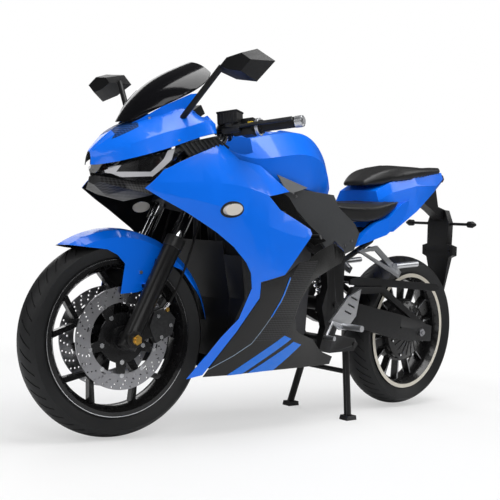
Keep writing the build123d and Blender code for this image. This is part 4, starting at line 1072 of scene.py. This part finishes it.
@dataclass
class Panels:
    """Stripes, trims and fasteners of the bodywork."""

    shop: Workshop
    line_width: float = 2.2             # millimetres, as the next ones
    blue_line_width: float = 5.0
    signal_at: Pair = (472.0, 694.0)
    surround: Pair = (43.0, 24.0)       # half length and half height
    surround_lean: float = -12.0        # degrees
    surround_steps: int = 28
    trim: float = 0.004
    bolt_radius: float = 0.0045

    def build(self) -> None:
        """Builds everything on the side and lower panels."""
        skins = Skins(self.shop)
        lower = "lower_fairing_left"
        skins.lay("belly_stripe_upper", lower, [STRIPE_UPPER], STRIPE_BLUE, "blue_paint")
        skins.lay("belly_stripe_lower", lower, [STRIPE_LOWER], STRIPE_BLUE, "blue_paint")
        skins.lay("edge_line", lower, self.chain(EDGE_ROUTE, self.line_width), EDGE_SILVER, "dark_panel")
        skins.lay("edge_line_blue", lower, self.chain(EDGE_ROUTE_BLUE, self.blue_line_width), STRIPE_BLUE,
                  "blue_paint", 0.0012)
        skins.lay("carbon_band", lower, CARBON_PATCHES, CARBON, "dark_panel", 0.0004)
        skins.lay("signal_surround", "side_fairing_left", [self.oval()], PLASTIC_BLACK, "black_plastic",
                  0.0003)
        self.trims()
        self.fasteners()

    @staticmethod
    def chain(points: Sequence[Pair], width: float) -> list[list[Pair]]:
        """Outlines of a line of a width through side-view points.

        Args:
            points: Its centreline.
            width: Its width.

        Returns:
            One outline for each stretch.
        """
        outlines = []
        for (x0, z0), (x1, z1) in zip(points, points[1:]):
            run = math.hypot(x1 - x0, z1 - z0)
            nx, nz = (z1 - z0) / run * width / 2, (x0 - x1) / run * width / 2
            outlines.append([(x0 + nx, z0 + nz), (x1 + nx, z1 + nz), (x1 - nx, z1 - nz), (x0 - nx, z0 - nz)])
        return outlines

    def oval(self) -> list[Pair]:
        """Outline round the side signal.

        Returns:
            Its points.
        """
        lean = math.radians(self.surround_lean)
        outline = []
        for k in range(self.surround_steps):
            a = math.tau * k / self.surround_steps
            x, z = self.surround[0] * math.cos(a), self.surround[1] * math.sin(a)
            outline.append((self.signal_at[0] + x * math.cos(lean) - z * math.sin(lean),
                            self.signal_at[1] + x * math.sin(lean) + z * math.cos(lean)))
        return outline

    def trims(self) -> None:
        """Grey wedges under the tank and black fillers between side panel and mid cover."""
        grey = Shapes()
        grey.plate([(0.231, 0.1600, 0.826), (0.072, 0.1500, 0.800), (0.150, 0.1560, 0.775),
                    (0.190, 0.1640, 0.778)], (0, self.trim, 0))
        grey.mirror()
        self.shop.piece("tank_trims", grey.done(), [TRIM_GREY], Body.CHASSIS.value, "dark_panel", bevel=0.001)
        black = Shapes()
        black.plate([(0.318, 0.150, 0.752), (0.190, 0.150, 0.772), (0.158, 0.150, 0.760),
                     (0.100, 0.150, 0.704), (-0.040, 0.150, 0.630), (0.020, 0.150, 0.610),
                     (0.110, 0.150, 0.650)], (0, self.trim, 0))
        black.mirror()
        self.shop.piece("filler_panels", black.done(), [GLOSS_BLACK], Body.CHASSIS.value, "black_plastic",
                        bevel=0.001)

    def fasteners(self) -> None:
        """Screw heads on the mid covers and the cowl."""
        heads = Shapes()
        y = 0.1440                      # outer face of the mid cover
        for x, z in ((0.133, 0.778), (0.118, 0.768), (-0.185, 0.640), (-0.150, 0.620)):
            heads.bar((x, y - 0.0005, z), (x, y + 0.0025, z), self.bolt_radius, 16)
            heads.bar((x, y + 0.0020, z), (x, y + 0.0028, z), self.bolt_radius * 0.5, 6)
        heads.bar((0.678, 0.068, 0.938), (0.6795, 0.0695, 0.9425), self.bolt_radius, 16)
        heads.mirror()
        self.shop.piece("panel_screws", heads.done(), [STEEL], Body.CHASSIS.value, "steel")


# Side-view outlines on the lenses and the cowl, as (x, z) in millimetres.
LIGHT_BAR = [
    [(800, 776), (796, 764), (766, 757), (779, 771)], [(779, 771), (766, 757), (706, 766), (710, 778)],
    [(800, 776), (779, 771), (774, 790), (786, 786)], [(710, 778), (706, 764), (655, 819), (678, 818)],
    [(678, 818), (655, 819), (645, 850), (664, 848)]]
NOSE_VENT = [(784, 864), (750, 912), (704, 934), (716, 908)]


@dataclass
class Nose:
    """Light bars, projectors, vent and louvres of the front."""

    shop: Workshop
    projector: float = 0.024
    bulb: float = 0.019
    ribs: int = 9
    rib: float = 0.0035
    strip: float = 0.0045

    def build(self) -> None:
        """Builds the front's details."""
        skins = Skins(self.shop)
        skins.lay("light_bars", "headlights", LIGHT_BAR, LAMP_WHITE, "lamp_glass")
        skins.lay("nose_vent", "nose_cowl", [NOSE_VENT], VENT_BLUE, "black_plastic", 0.0006, (0.0, 0.0, 1.0))
        self.projectors()
        self.louvres()

    def projectors(self) -> None:
        """Reddish projectors in chrome cups, on a black tray behind each lens."""
        inner = Shapes()
        tray = [(0.774, 0.040, 0.770), (0.700, 0.110, 0.776), (0.640, 0.140, 0.836), (0.600, 0.130, 0.846),
                (0.700, 0.060, 0.800)]
        for side in SIDES:
            inner.bar((0.655, 0.118 * side, 0.806), (0.684, 0.128 * side, 0.802), self.projector, 28,
                      self.projector, 1)
            inner.ball((0.676, 0.126 * side, 0.803), self.bulb, 2)
            inner.plate([(x, y * side, z) for x, y, z in tray], (-0.004, -0.004 * side, 0.0))
        self.shop.piece("lamp_projectors", inner.done(), [GLOSS_BLACK, CHROME, LAMP_RED], Body.CHASSIS.value,
                        "lamp_glass")

    def louvres(self) -> None:
        """Ribbed black pieces behind the lenses, with a grey strip above each."""
        shapes = Shapes()
        first = (Vector((0.630, 0.1585, 0.868)), Vector((0.596, 0.1600, 0.838)))
        last = (Vector((0.486, 0.1470, 0.912)), Vector((0.462, 0.1500, 0.886)))
        shapes.plate([first[0], last[0], last[1], first[1]], (0, -0.004, 0))
        for k in range(self.ribs):
            t = k / (self.ribs - 1)
            top, low = first[0].lerp(last[0], t), first[1].lerp(last[1], t)
            shapes.bar(top + Vector((0, 0.002, -0.002)), low + Vector((0, 0.002, 0.002)), self.rib, 8)
        shapes.bar((0.640, 0.1590, 0.874), (0.500, 0.1520, 0.920), self.strip, 10, self.rib, 1)
        shapes.mirror()
        self.shop.piece("lamp_louvres", shapes.done(), [PLASTIC_BLACK, TRIM_GREY], Body.CHASSIS.value,
                        "black_plastic")


@dataclass
class FrontWheelParts:
    """Drilled discs, bolts and rim line of the front wheel."""

    shop: Workshop
    disc_y: float = 0.056
    half: float = 0.00225               # half the thickness of a disc
    inner: float = 0.104
    outer: float = 0.150
    sets: int = 30                      # slanted rows of drillings
    rows: tuple[float, ...] = (0.1440, 0.1340, 0.1240)
    row_turn: float = 0.055             # radians from one drilling of a row to the next
    drill: float = 0.0030
    slot: Triple = (0.014, 0.02, 0.0045)
    slot_at: float = 0.1150
    slot_turn: float = 0.1

    def build(self) -> None:
        """Builds the front wheel's details."""
        self.discs()
        bolts = Shapes()
        bolts.spokes(5, (0.070, 0.0535), (0.070, 0.0580), 0.0075, 6, 0.5)
        bolts.spokes(10, (0.109, 0.0540), (0.109, 0.0600), 0.0065, 18)
        self.shop.piece("disc_bolts", bolts.done(FRONT_WHEEL), [STEEL_BRIGHT], Body.FRONT_WHEEL.value,
                        "steel")
        lines = Shapes()
        lines.rings(0.2285, 0.2300, 0.0450, 0.0006)
        self.shop.piece("front_rim_line", lines.done(FRONT_WHEEL), [STEEL_BRIGHT], Body.FRONT_WHEEL.value,
                        "steel")

    def discs(self) -> None:
        """Two rings with slanted rows of drillings and short slots."""
        ring = Shapes()
        ring.lathe([(self.inner, -self.half), (self.outer, -self.half), (self.outer, self.half),
                    (self.inner, self.half)], 120)
        base = self.temporary("ring", ring.done())
        holes = Shapes()
        for k in range(self.sets):
            a = math.tau * k / self.sets
            for row, radius in enumerate(self.rows):
                b = a + row * self.row_turn
                x, z = radius * math.sin(b), radius * math.cos(b)
                holes.bar((x, -0.01, z), (x, 0.01, z), self.drill, 10)
            if k % 3 == 0:
                b = a + self.slot_turn
                holes.box((self.slot_at * math.sin(b), 0, self.slot_at * math.cos(b)), self.slot,
                          Matrix.Rotation(b, 4, "Y"))
        cutter = self.temporary("drills", holes.done())
        cut = base.modifiers.new("cut", "BOOLEAN")
        cut.operation, cut.solver, cut.object = "DIFFERENCE", "EXACT", cutter
        graph = bpy.context.evaluated_depsgraph_get()
        drilled = bpy.data.meshes.new_from_object(base.evaluated_get(graph))
        bm = bmesh.new()
        for step in (self.disc_y, -2 * self.disc_y):
            drilled.transform(Matrix.Translation((0, step, 0)))
            bm.from_mesh(drilled)
        for obj in (base, cutter):
            bpy.data.objects.remove(obj)
        bpy.data.meshes.remove(drilled)
        bmesh.ops.transform(bm, matrix=FRONT_WHEEL, verts=bm.verts)
        self.shop.piece("brake_discs", bm, [STEEL], Body.FRONT_WHEEL.value, "steel", ["front_discs"], 30.0)

    @staticmethod
    def temporary(name: str, bm: bmesh.types.BMesh) -> bpy.types.Object:
        """Object that only lives while a cut is made.

        Args:
            name: Its name.
            bm: Its mesh, which is freed.

        Returns:
            The object.
        """
        mesh = bpy.data.meshes.new(name)
        bm.to_mesh(mesh)
        bm.free()
        obj = bpy.data.objects.new(name, mesh)
        bpy.context.scene.collection.objects.link(obj)
        return obj


@dataclass
class Tyre:
    """Road tyre with slanted tread grooves, over a packed tyre."""

    shop: Workshop
    node: str
    outer: float
    width: float
    place: Matrix
    bead: float = 0.222
    bead_share: float = 0.36            # bead's place across, and height of the round crown
    rows: int = 17                      # points across the crown
    pitches: int = 46                   # grooves round the tyre
    cuts: Pair = (0.16, 0.58)           # a groove's end and the next column, as shares of a pitch
    groove: float = 0.0032
    groove_rows: tuple[int, int] = (2, 6)
    slant: float = 1.1

    def build(self) -> None:
        """Builds the tyre's grid, sinks the grooves and seats it."""
        profile, first = self.profile()
        bm = bmesh.new()
        grid = []
        for turn in self.turns():
            column = []
            for r, y in profile:
                a = turn + self.slant * abs(y) / self.outer
                column.append(bm.verts.new((r * math.sin(a), y, r * math.cos(a))))
            grid.append(column)
        sunk = []
        low_row, high_row = self.groove_rows
        for c, (left, right) in enumerate(zip(grid, grid[1:] + grid[:1])):
            for k in range(len(profile) - 1):
                face = bm.faces.new((left[k], right[k], right[k + 1], left[k + 1]))
                row = k - first
                near = low_row <= row <= high_row
                far = low_row <= self.rows - 2 - row <= high_row
                if c % 3 == 0 and (near or far):
                    sunk.append(face)
        self.sink(bm, sunk)
        for left, right in zip(grid, grid[1:] + grid[:1]):
            bm.faces.new((left[0], left[-1], right[-1], right[0]))
        bmesh.ops.recalc_face_normals(bm, faces=bm.faces)
        bmesh.ops.transform(bm, matrix=self.place, verts=bm.verts)
        self.shop.piece(f"{self.node}_tread", bm, [TYRE_RUBBER], self.shop.body_of(self.node), "tyre_rubber",
                        [self.node], 40.0)

    def profile(self) -> tuple[list[Pair], int]:
        """Works out the section from one bead over the crown to the other.

        Returns:
            Its (radius, y) points and the index of the crown's first point.
        """
        half, bead_y = self.width / 2, self.width * self.bead_share - 0.0003
        shoulder = self.outer - self.bead_share * (self.outer - self.bead)
        rise = self.outer - shoulder
        radius = (half * half + rise * rise) / (2 * rise)
        sweep = math.asin(min(1.0, half / radius)) if rise < radius else math.pi / 2
        crown = []
        for k in range(self.rows):
            a = sweep * (1 - 2 * k / (self.rows - 1))
            crown.append((self.outer - radius + radius * math.cos(a), radius * math.sin(a)))
        wall = [(self.bead + up, bead_y + out) for up, out in
                ((0.0003, -0.010), (0.0003, 0.0), (0.012, 0.0), (0.0125, 0.0015), (0.0175, 0.0045))]
        wall = [p for p in wall if p[0] < shoulder - 0.002]
        return wall + crown + [(r, -y) for r, y in reversed(wall)], len(wall)

    def turns(self) -> list[float]:
        """Angles of the grid's columns, three for each pitch.

        Returns:
            The angles in radians.
        """
        step = math.tau / self.pitches
        return [math.tau * k / self.pitches + step * share
                for k in range(self.pitches) for share in (0.0, *self.cuts)]

    def sink(self, bm: bmesh.types.BMesh, faces: Sequence[bmesh.types.BMFace]) -> None:
        """Sinks the groove faces towards the axle.

        Args:
            bm: The tyre's mesh, still at the origin.
            faces: The faces, which are replaced.
        """
        bm.normal_update()
        grown = bmesh.ops.extrude_face_region(bm, geom=faces)
        bmesh.ops.delete(bm, geom=faces, context="FACES")
        for vert in (v for v in grown["geom"] if isinstance(v, bmesh.types.BMVert)):
            flat = Vector((vert.co.x, 0, vert.co.z))
            vert.co -= flat.normalized() * self.groove


@dataclass
class RearWheelParts:
    """Pale rim ring, bright blades and motor cover of the rear wheel."""

    shop: Workshop
    lip: float = 0.0543                 # the rim's edge, from the middle
    blades: int = 14
    ribs: int = 20
    screws: int = 8

    def build(self) -> None:
        """Builds the rear wheel's details."""
        ring = Shapes()
        ring.rings(0.2160, 0.2305, self.lip + 0.0008, 0.0010)
        self.shop.piece("rim_ring", ring.done(REAR_WHEEL), [RING_CREAM], Body.REAR_WHEEL.value, "wheel_black")
        edges = Shapes()
        edges.spokes(self.blades, (0.126, 0.0155), (0.200, 0.0155), 0.0022, 8)
        self.shop.piece("blade_edges", edges.done(REAR_WHEEL), [ALLOY], Body.REAR_WHEEL.value, "alloy")
        cover = Shapes()
        cover.spokes(self.ribs, (0.042, 0.0632), (0.098, 0.0528), 0.0030, 8)
        cover.spokes(self.screws, (0.106, 0.0505), (0.106, 0.0560), 0.0048, 6, 0.5, 1)
        self.shop.piece("motor_ribs", cover.done(REAR_WHEEL), [WHEEL_BLACK, STEEL_BRIGHT],
                        Body.REAR_WHEEL.value, "wheel_black")


# Route of a brake hose from the caliper up along the left fork leg, in metres, bars straight ahead.
HOSE_ROUTE = [(0.566, 0.080, 0.386), (0.556, 0.082, 0.402), (0.540, 0.086, 0.432), (0.522, 0.090, 0.480),
              (0.505, 0.092, 0.530), (0.487, 0.095, 0.590), (0.470, 0.097, 0.650), (0.455, 0.097, 0.705)]


@dataclass
class SteeringParts:
    """Nuts, hoses, caliper bolts, switches and bar ends, made straight ahead and then turned."""

    shop: Workshop
    bar_start: Vector = field(default_factory=lambda: Vector((0.3946, 0.122, 0.9329)))
    grip_end: Vector = field(default_factory=lambda: Vector((0.284, 0.320, 0.952)))
    fork_y: float = 100.0               # millimetres
    hose: float = 0.0036
    hose_steps: int = 5

    def on_bar(self, distance: float) -> Vector:
        """Finds a point on the left bar.

        Args:
            distance: Millimetres from the clamp.

        Returns:
            The point.
        """
        return self.bar_start + (self.grip_end - self.bar_start).normalized() * distance * MM

    @staticmethod
    def fork(up: float, y: float, ahead: float = 0.0) -> Vector:
        """Finds a point on the fork, in millimetres from the axle.

        Args:
            up: Distance up the fork.
            y: Distance across it.
            ahead: Distance ahead of it.

        Returns:
            The point.
        """
        return AXLE + STEER_UP * up * MM + STEER_AHEAD * ahead * MM + Vector((0, y * MM, 0))

    def build(self) -> None:
        """Builds everything that turns with the bars."""
        self.nuts()
        self.caliper_bolts()
        self.hoses()
        self.bar_ends()
        self.switches()

    def nuts(self) -> None:
        """Gold nuts on the axle and a screw each side of the fender."""
        nuts = Shapes()
        x, z = AXLE.x, AXLE.z
        for side in SIDES:
            nuts.bar((0.650, side * 0.0660, 0.486), (0.650, side * 0.0705, 0.486), 0.0052, 16, None, 1)
            nuts.bar((x, side * 0.1372, z), (x, side * 0.1440, z), 0.0150, 6)
            nuts.bar((x, side * 0.1435, z), (x, side * 0.1465, z), 0.0085, 24)
        self.shop.piece("axle_nuts", nuts.done(TURNED), [GOLD, STEEL_BRIGHT], Body.STEERING.value, "steel")

    def caliper_bolts(self) -> None:
        """Bolts of the calipers and of their feet, and the gold bolt of each hose."""
        bolts = Shapes()
        for side in SIDES:
            for dx, dz in ((-0.098, 0.066), (-0.142, 0.040), (-0.112, 0.004)):
                x, z = AXLE.x + dx, AXLE.z + dz
                bolts.bar((x, side * 0.0815, z), (x, side * 0.0870, z), 0.0065, 6)
            x, z = AXLE.x - 0.128, AXLE.z + 0.086
            bolts.bar((x, side * 0.076, z), (x, side * 0.088, z), 0.0070, 6, None, 1)
            for up in (176, 206):
                bolts.bar(self.fork(up, side * 74, 8), self.fork(up, side * 71, 8), 0.0060, 6)
        self.shop.piece("caliper_bolts", bolts.done(TURNED), [STEEL_BRIGHT, GOLD], Body.STEERING.value,
                        "steel")

    def hoses(self) -> None:
        """Brake hoses with their bright ends."""
        hose = Shapes()
        hose.tube(self.rounded(HOSE_ROUTE), self.hose)
        hose.bar((0.571, 0.079, 0.378), (0.558, 0.0815, 0.398), 0.0055, 14, None, 1)
        hose.mirror()
        self.shop.piece("brake_hoses", hose.done(TURNED), [GRIP_RUBBER, STEEL_BRIGHT], Body.STEERING.value,
                        "black_plastic")

    def rounded(self, route: Sequence[Triple]) -> list[Vector]:
        """Closer points on a smooth line through a route.

        Args:
            route: Points that the line passes.

        Returns:
            The closer points.
        """
        points = [Vector(p) for p in route]
        line = [points[0]]
        last = len(points) - 1
        for k in range(last):
            before, a, b, after = points[max(k - 1, 0)], points[k], points[k + 1], points[min(k + 2, last)]
            for step in range(1, self.hose_steps + 1):
                t = step / self.hose_steps
                line.append(0.5 * ((2 * a) + (b - before) * t + (2 * before - 5 * a + 4 * b - after) * t * t
                                   + (3 * a - before - 3 * b + after) * t ** 3))
        return line

    def bar_ends(self) -> None:
        """Bar ends, silver rings and the screws in the fork tops."""
        silver = Shapes()
        silver.bar(self.on_bar(222), self.on_bar(245), 0.0178, 28)
        silver.bar(self.on_bar(245), self.on_bar(249), 0.0178, 28, 0.0120)
        silver.bar(self.on_bar(97), self.on_bar(108), 0.0275, 28)
        silver.bar(self.fork(736, self.fork_y), self.fork(750, self.fork_y), 0.0160, 28)
        silver.bar(self.fork(750, self.fork_y), self.fork(754, self.fork_y), 0.0100, 6)
        silver.mirror()
        self.shop.piece("bar_ends", silver.done(TURNED), [ALLOY], Body.STEERING.value, "alloy", bevel=0.001)

    def switches(self) -> None:
        """Brake fluid boxes with ribs, and switch boxes with a yellow and a grey switch."""
        along = (self.grip_end - self.bar_start).normalized()
        across = Vector((along.y, -along.x, 0)).normalized()
        up = along.cross(across)
        if up.z < 0:
            up.negate()
        turn = Matrix((along, across, up)).transposed().to_4x4()
        boxes = Shapes()
        cup = self.on_bar(33.6) + across * 0.034 - along * 0.014 + Vector((0, 0, 0.028))
        boxes.box(cup, (0.066, 0.047, 0.034), turn)
        boxes.box(cup + up * 0.019, (0.070, 0.050, 0.006), turn)
        boxes.box(self.on_bar(74) + up * 0.004, (0.040, 0.050, 0.046), turn)
        boxes.box(self.on_bar(74) + across * 0.014 - up * 0.012, (0.036, 0.040, 0.030), turn)
        for k in range(5):
            boxes.box(cup + across * 0.024 + along * (k - 2) * 0.011, (0.004, 0.003, 0.030), turn)
        boxes.box(self.on_bar(86) + up * 0.008 + across * 0.0275, (0.017, 0.007, 0.012), turn, 1)
        boxes.box(self.on_bar(66) + across * 0.0275 - up * 0.004, (0.010, 0.005, 0.010), turn, 2)
        boxes.mirror()
        self.shop.piece("switch_boxes", boxes.done(TURNED), [PLASTIC_BLACK, MARK_YELLOW, TRIM_GREY],
                        Body.STEERING.value, "black_plastic", bevel=0.0016)


@dataclass
class Seats:
    """Rounded cushions with piping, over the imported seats."""

    shop: Workshop
    fill: float = 0.8
    voxel: float = 0.005
    passes: int = 10
    piping: float = 0.0016
    sunk: float = 0.0004
    reach: int = 40                     # steps to each side of the middle
    step: float = 0.0028
    above: float = 1.3                  # height that the piping is dropped from

    def build(self) -> None:
        """Builds both cushions."""
        self.cushion("rider_seat", (-0.330,))
        self.cushion("passenger_seat", (-0.500, -0.700))

    def cushion(self, node: str, seams: Sequence[float]) -> None:
        """Rounds one packed seat and lays piping over its crown.

        Args:
            node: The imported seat.
            seams: Places of the cross seams along X.
        """
        bm = self.softened(node)
        tree = BVHTree.FromBMesh(bm)
        cushion = self.shop.piece(f"{node}_cushion", bm, [SEAT_COVER], self.shop.body_of(node), "seat_cover",
                                  [node], 60.0)
        piping = Shapes()
        for x in seams:
            line = []
            for k in range(-self.reach, self.reach + 1):
                hit = tree.ray_cast(Vector((x, k * self.step, self.above)), Vector((0, 0, -1)))[0]
                if hit is not None:
                    line.append(hit + Vector((0, 0, -self.sunk)))
            if len(line) > 4:
                piping.tube(line[2:-2], self.piping, 8)
        self.shop.piece(f"{node}_piping", piping.done(), [SEAT_COVER], self.shop.body_of(node), "seat_cover")

    def softened(self, node: str) -> bmesh.types.BMesh:
        """Even, rounded copy of a packed seat.

        Args:
            node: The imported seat.

        Returns:
            The copy.
        """
        mesh = bpy.data.meshes.new(node)
        bm = self.shop.node_mesh(node)
        bm.to_mesh(mesh)
        bm.free()
        base = bpy.data.objects.new(node, mesh)
        bpy.context.scene.collection.objects.link(base)
        remesh = base.modifiers.new("even", "REMESH")
        remesh.mode, remesh.voxel_size = "VOXEL", self.voxel
        soften = base.modifiers.new("soften", "SMOOTH")
        soften.factor, soften.iterations = 0.5, self.passes
        graph = bpy.context.evaluated_depsgraph_get()
        soft = bpy.data.meshes.new_from_object(base.evaluated_get(graph))
        bm = bmesh.new()
        bm.from_mesh(soft)
        bpy.data.objects.remove(base)
        bpy.data.meshes.remove(soft)
        return bm


@dataclass
class Spring:
    """Damper with an open coil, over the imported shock."""

    shop: Workshop
    low: Triple = (-0.262, 0.0, 0.404)      # lower eye
    high: Triple = (-0.108, 0.0, 0.590)     # upper eye
    turns: float = 7.0
    radius: float = 0.0245
    wire: float = 0.0042
    steps: int = 18                         # of the wire's path, for one turn

    def build(self) -> None:
        """Builds damper, seats and coil."""
        low, high = Vector(self.low), Vector(self.high)
        along = (high - low).normalized()
        shapes = Shapes()
        shapes.bar(low + along * 0.0245, low + along * 0.120, 0.0135, 24)
        shapes.bar(low + along * 0.118, high - along * 0.0165, 0.0080, 20, None, 1)
        first, last = low + along * 0.062, high - along * 0.044
        for place in (first, last):
            shapes.bar(place - along * 0.004, place + along * 0.003, 0.0285, 32)
        side = Vector((0, 1, 0))
        other = along.cross(side)
        count = int(self.turns * self.steps)
        path = []
        for k in range(count + 1):
            a = math.tau * k / self.steps
            around = (side * math.cos(a) + other * math.sin(a)) * self.radius
            path.append(first.lerp(last, k / count) + around)
        shapes.tube(path, self.wire, 10, 1)
        self.shop.piece("shock_coil", shapes.done(), [FRAME_SATIN, STEEL_BRIGHT],
                        self.shop.body_of("rear_shock"), "frame_black", ["rear_shock"])


def main() -> None:
    """Builds the scene."""
    logging.basicConfig(level=logging.INFO, format="%(message)s")
    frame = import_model()
    Studio().build()
    shop = Workshop(frame)
    for plan in DRESSINGS:
        shop.dress(plan, SHOWN_ELSEWHERE)
    for part in (Panels(shop), Nose(shop), FrontWheelParts(shop), RearWheelParts(shop), SteeringParts(shop),
                 Seats(shop), Spring(shop), Tyre(shop, "front_tyre", 0.293, 0.110, FRONT_WHEEL),
                 Tyre(shop, "rear_tyre", 0.299, 0.137, REAR_WHEEL)):
        part.build()


if __name__ == "__main__":
    main()
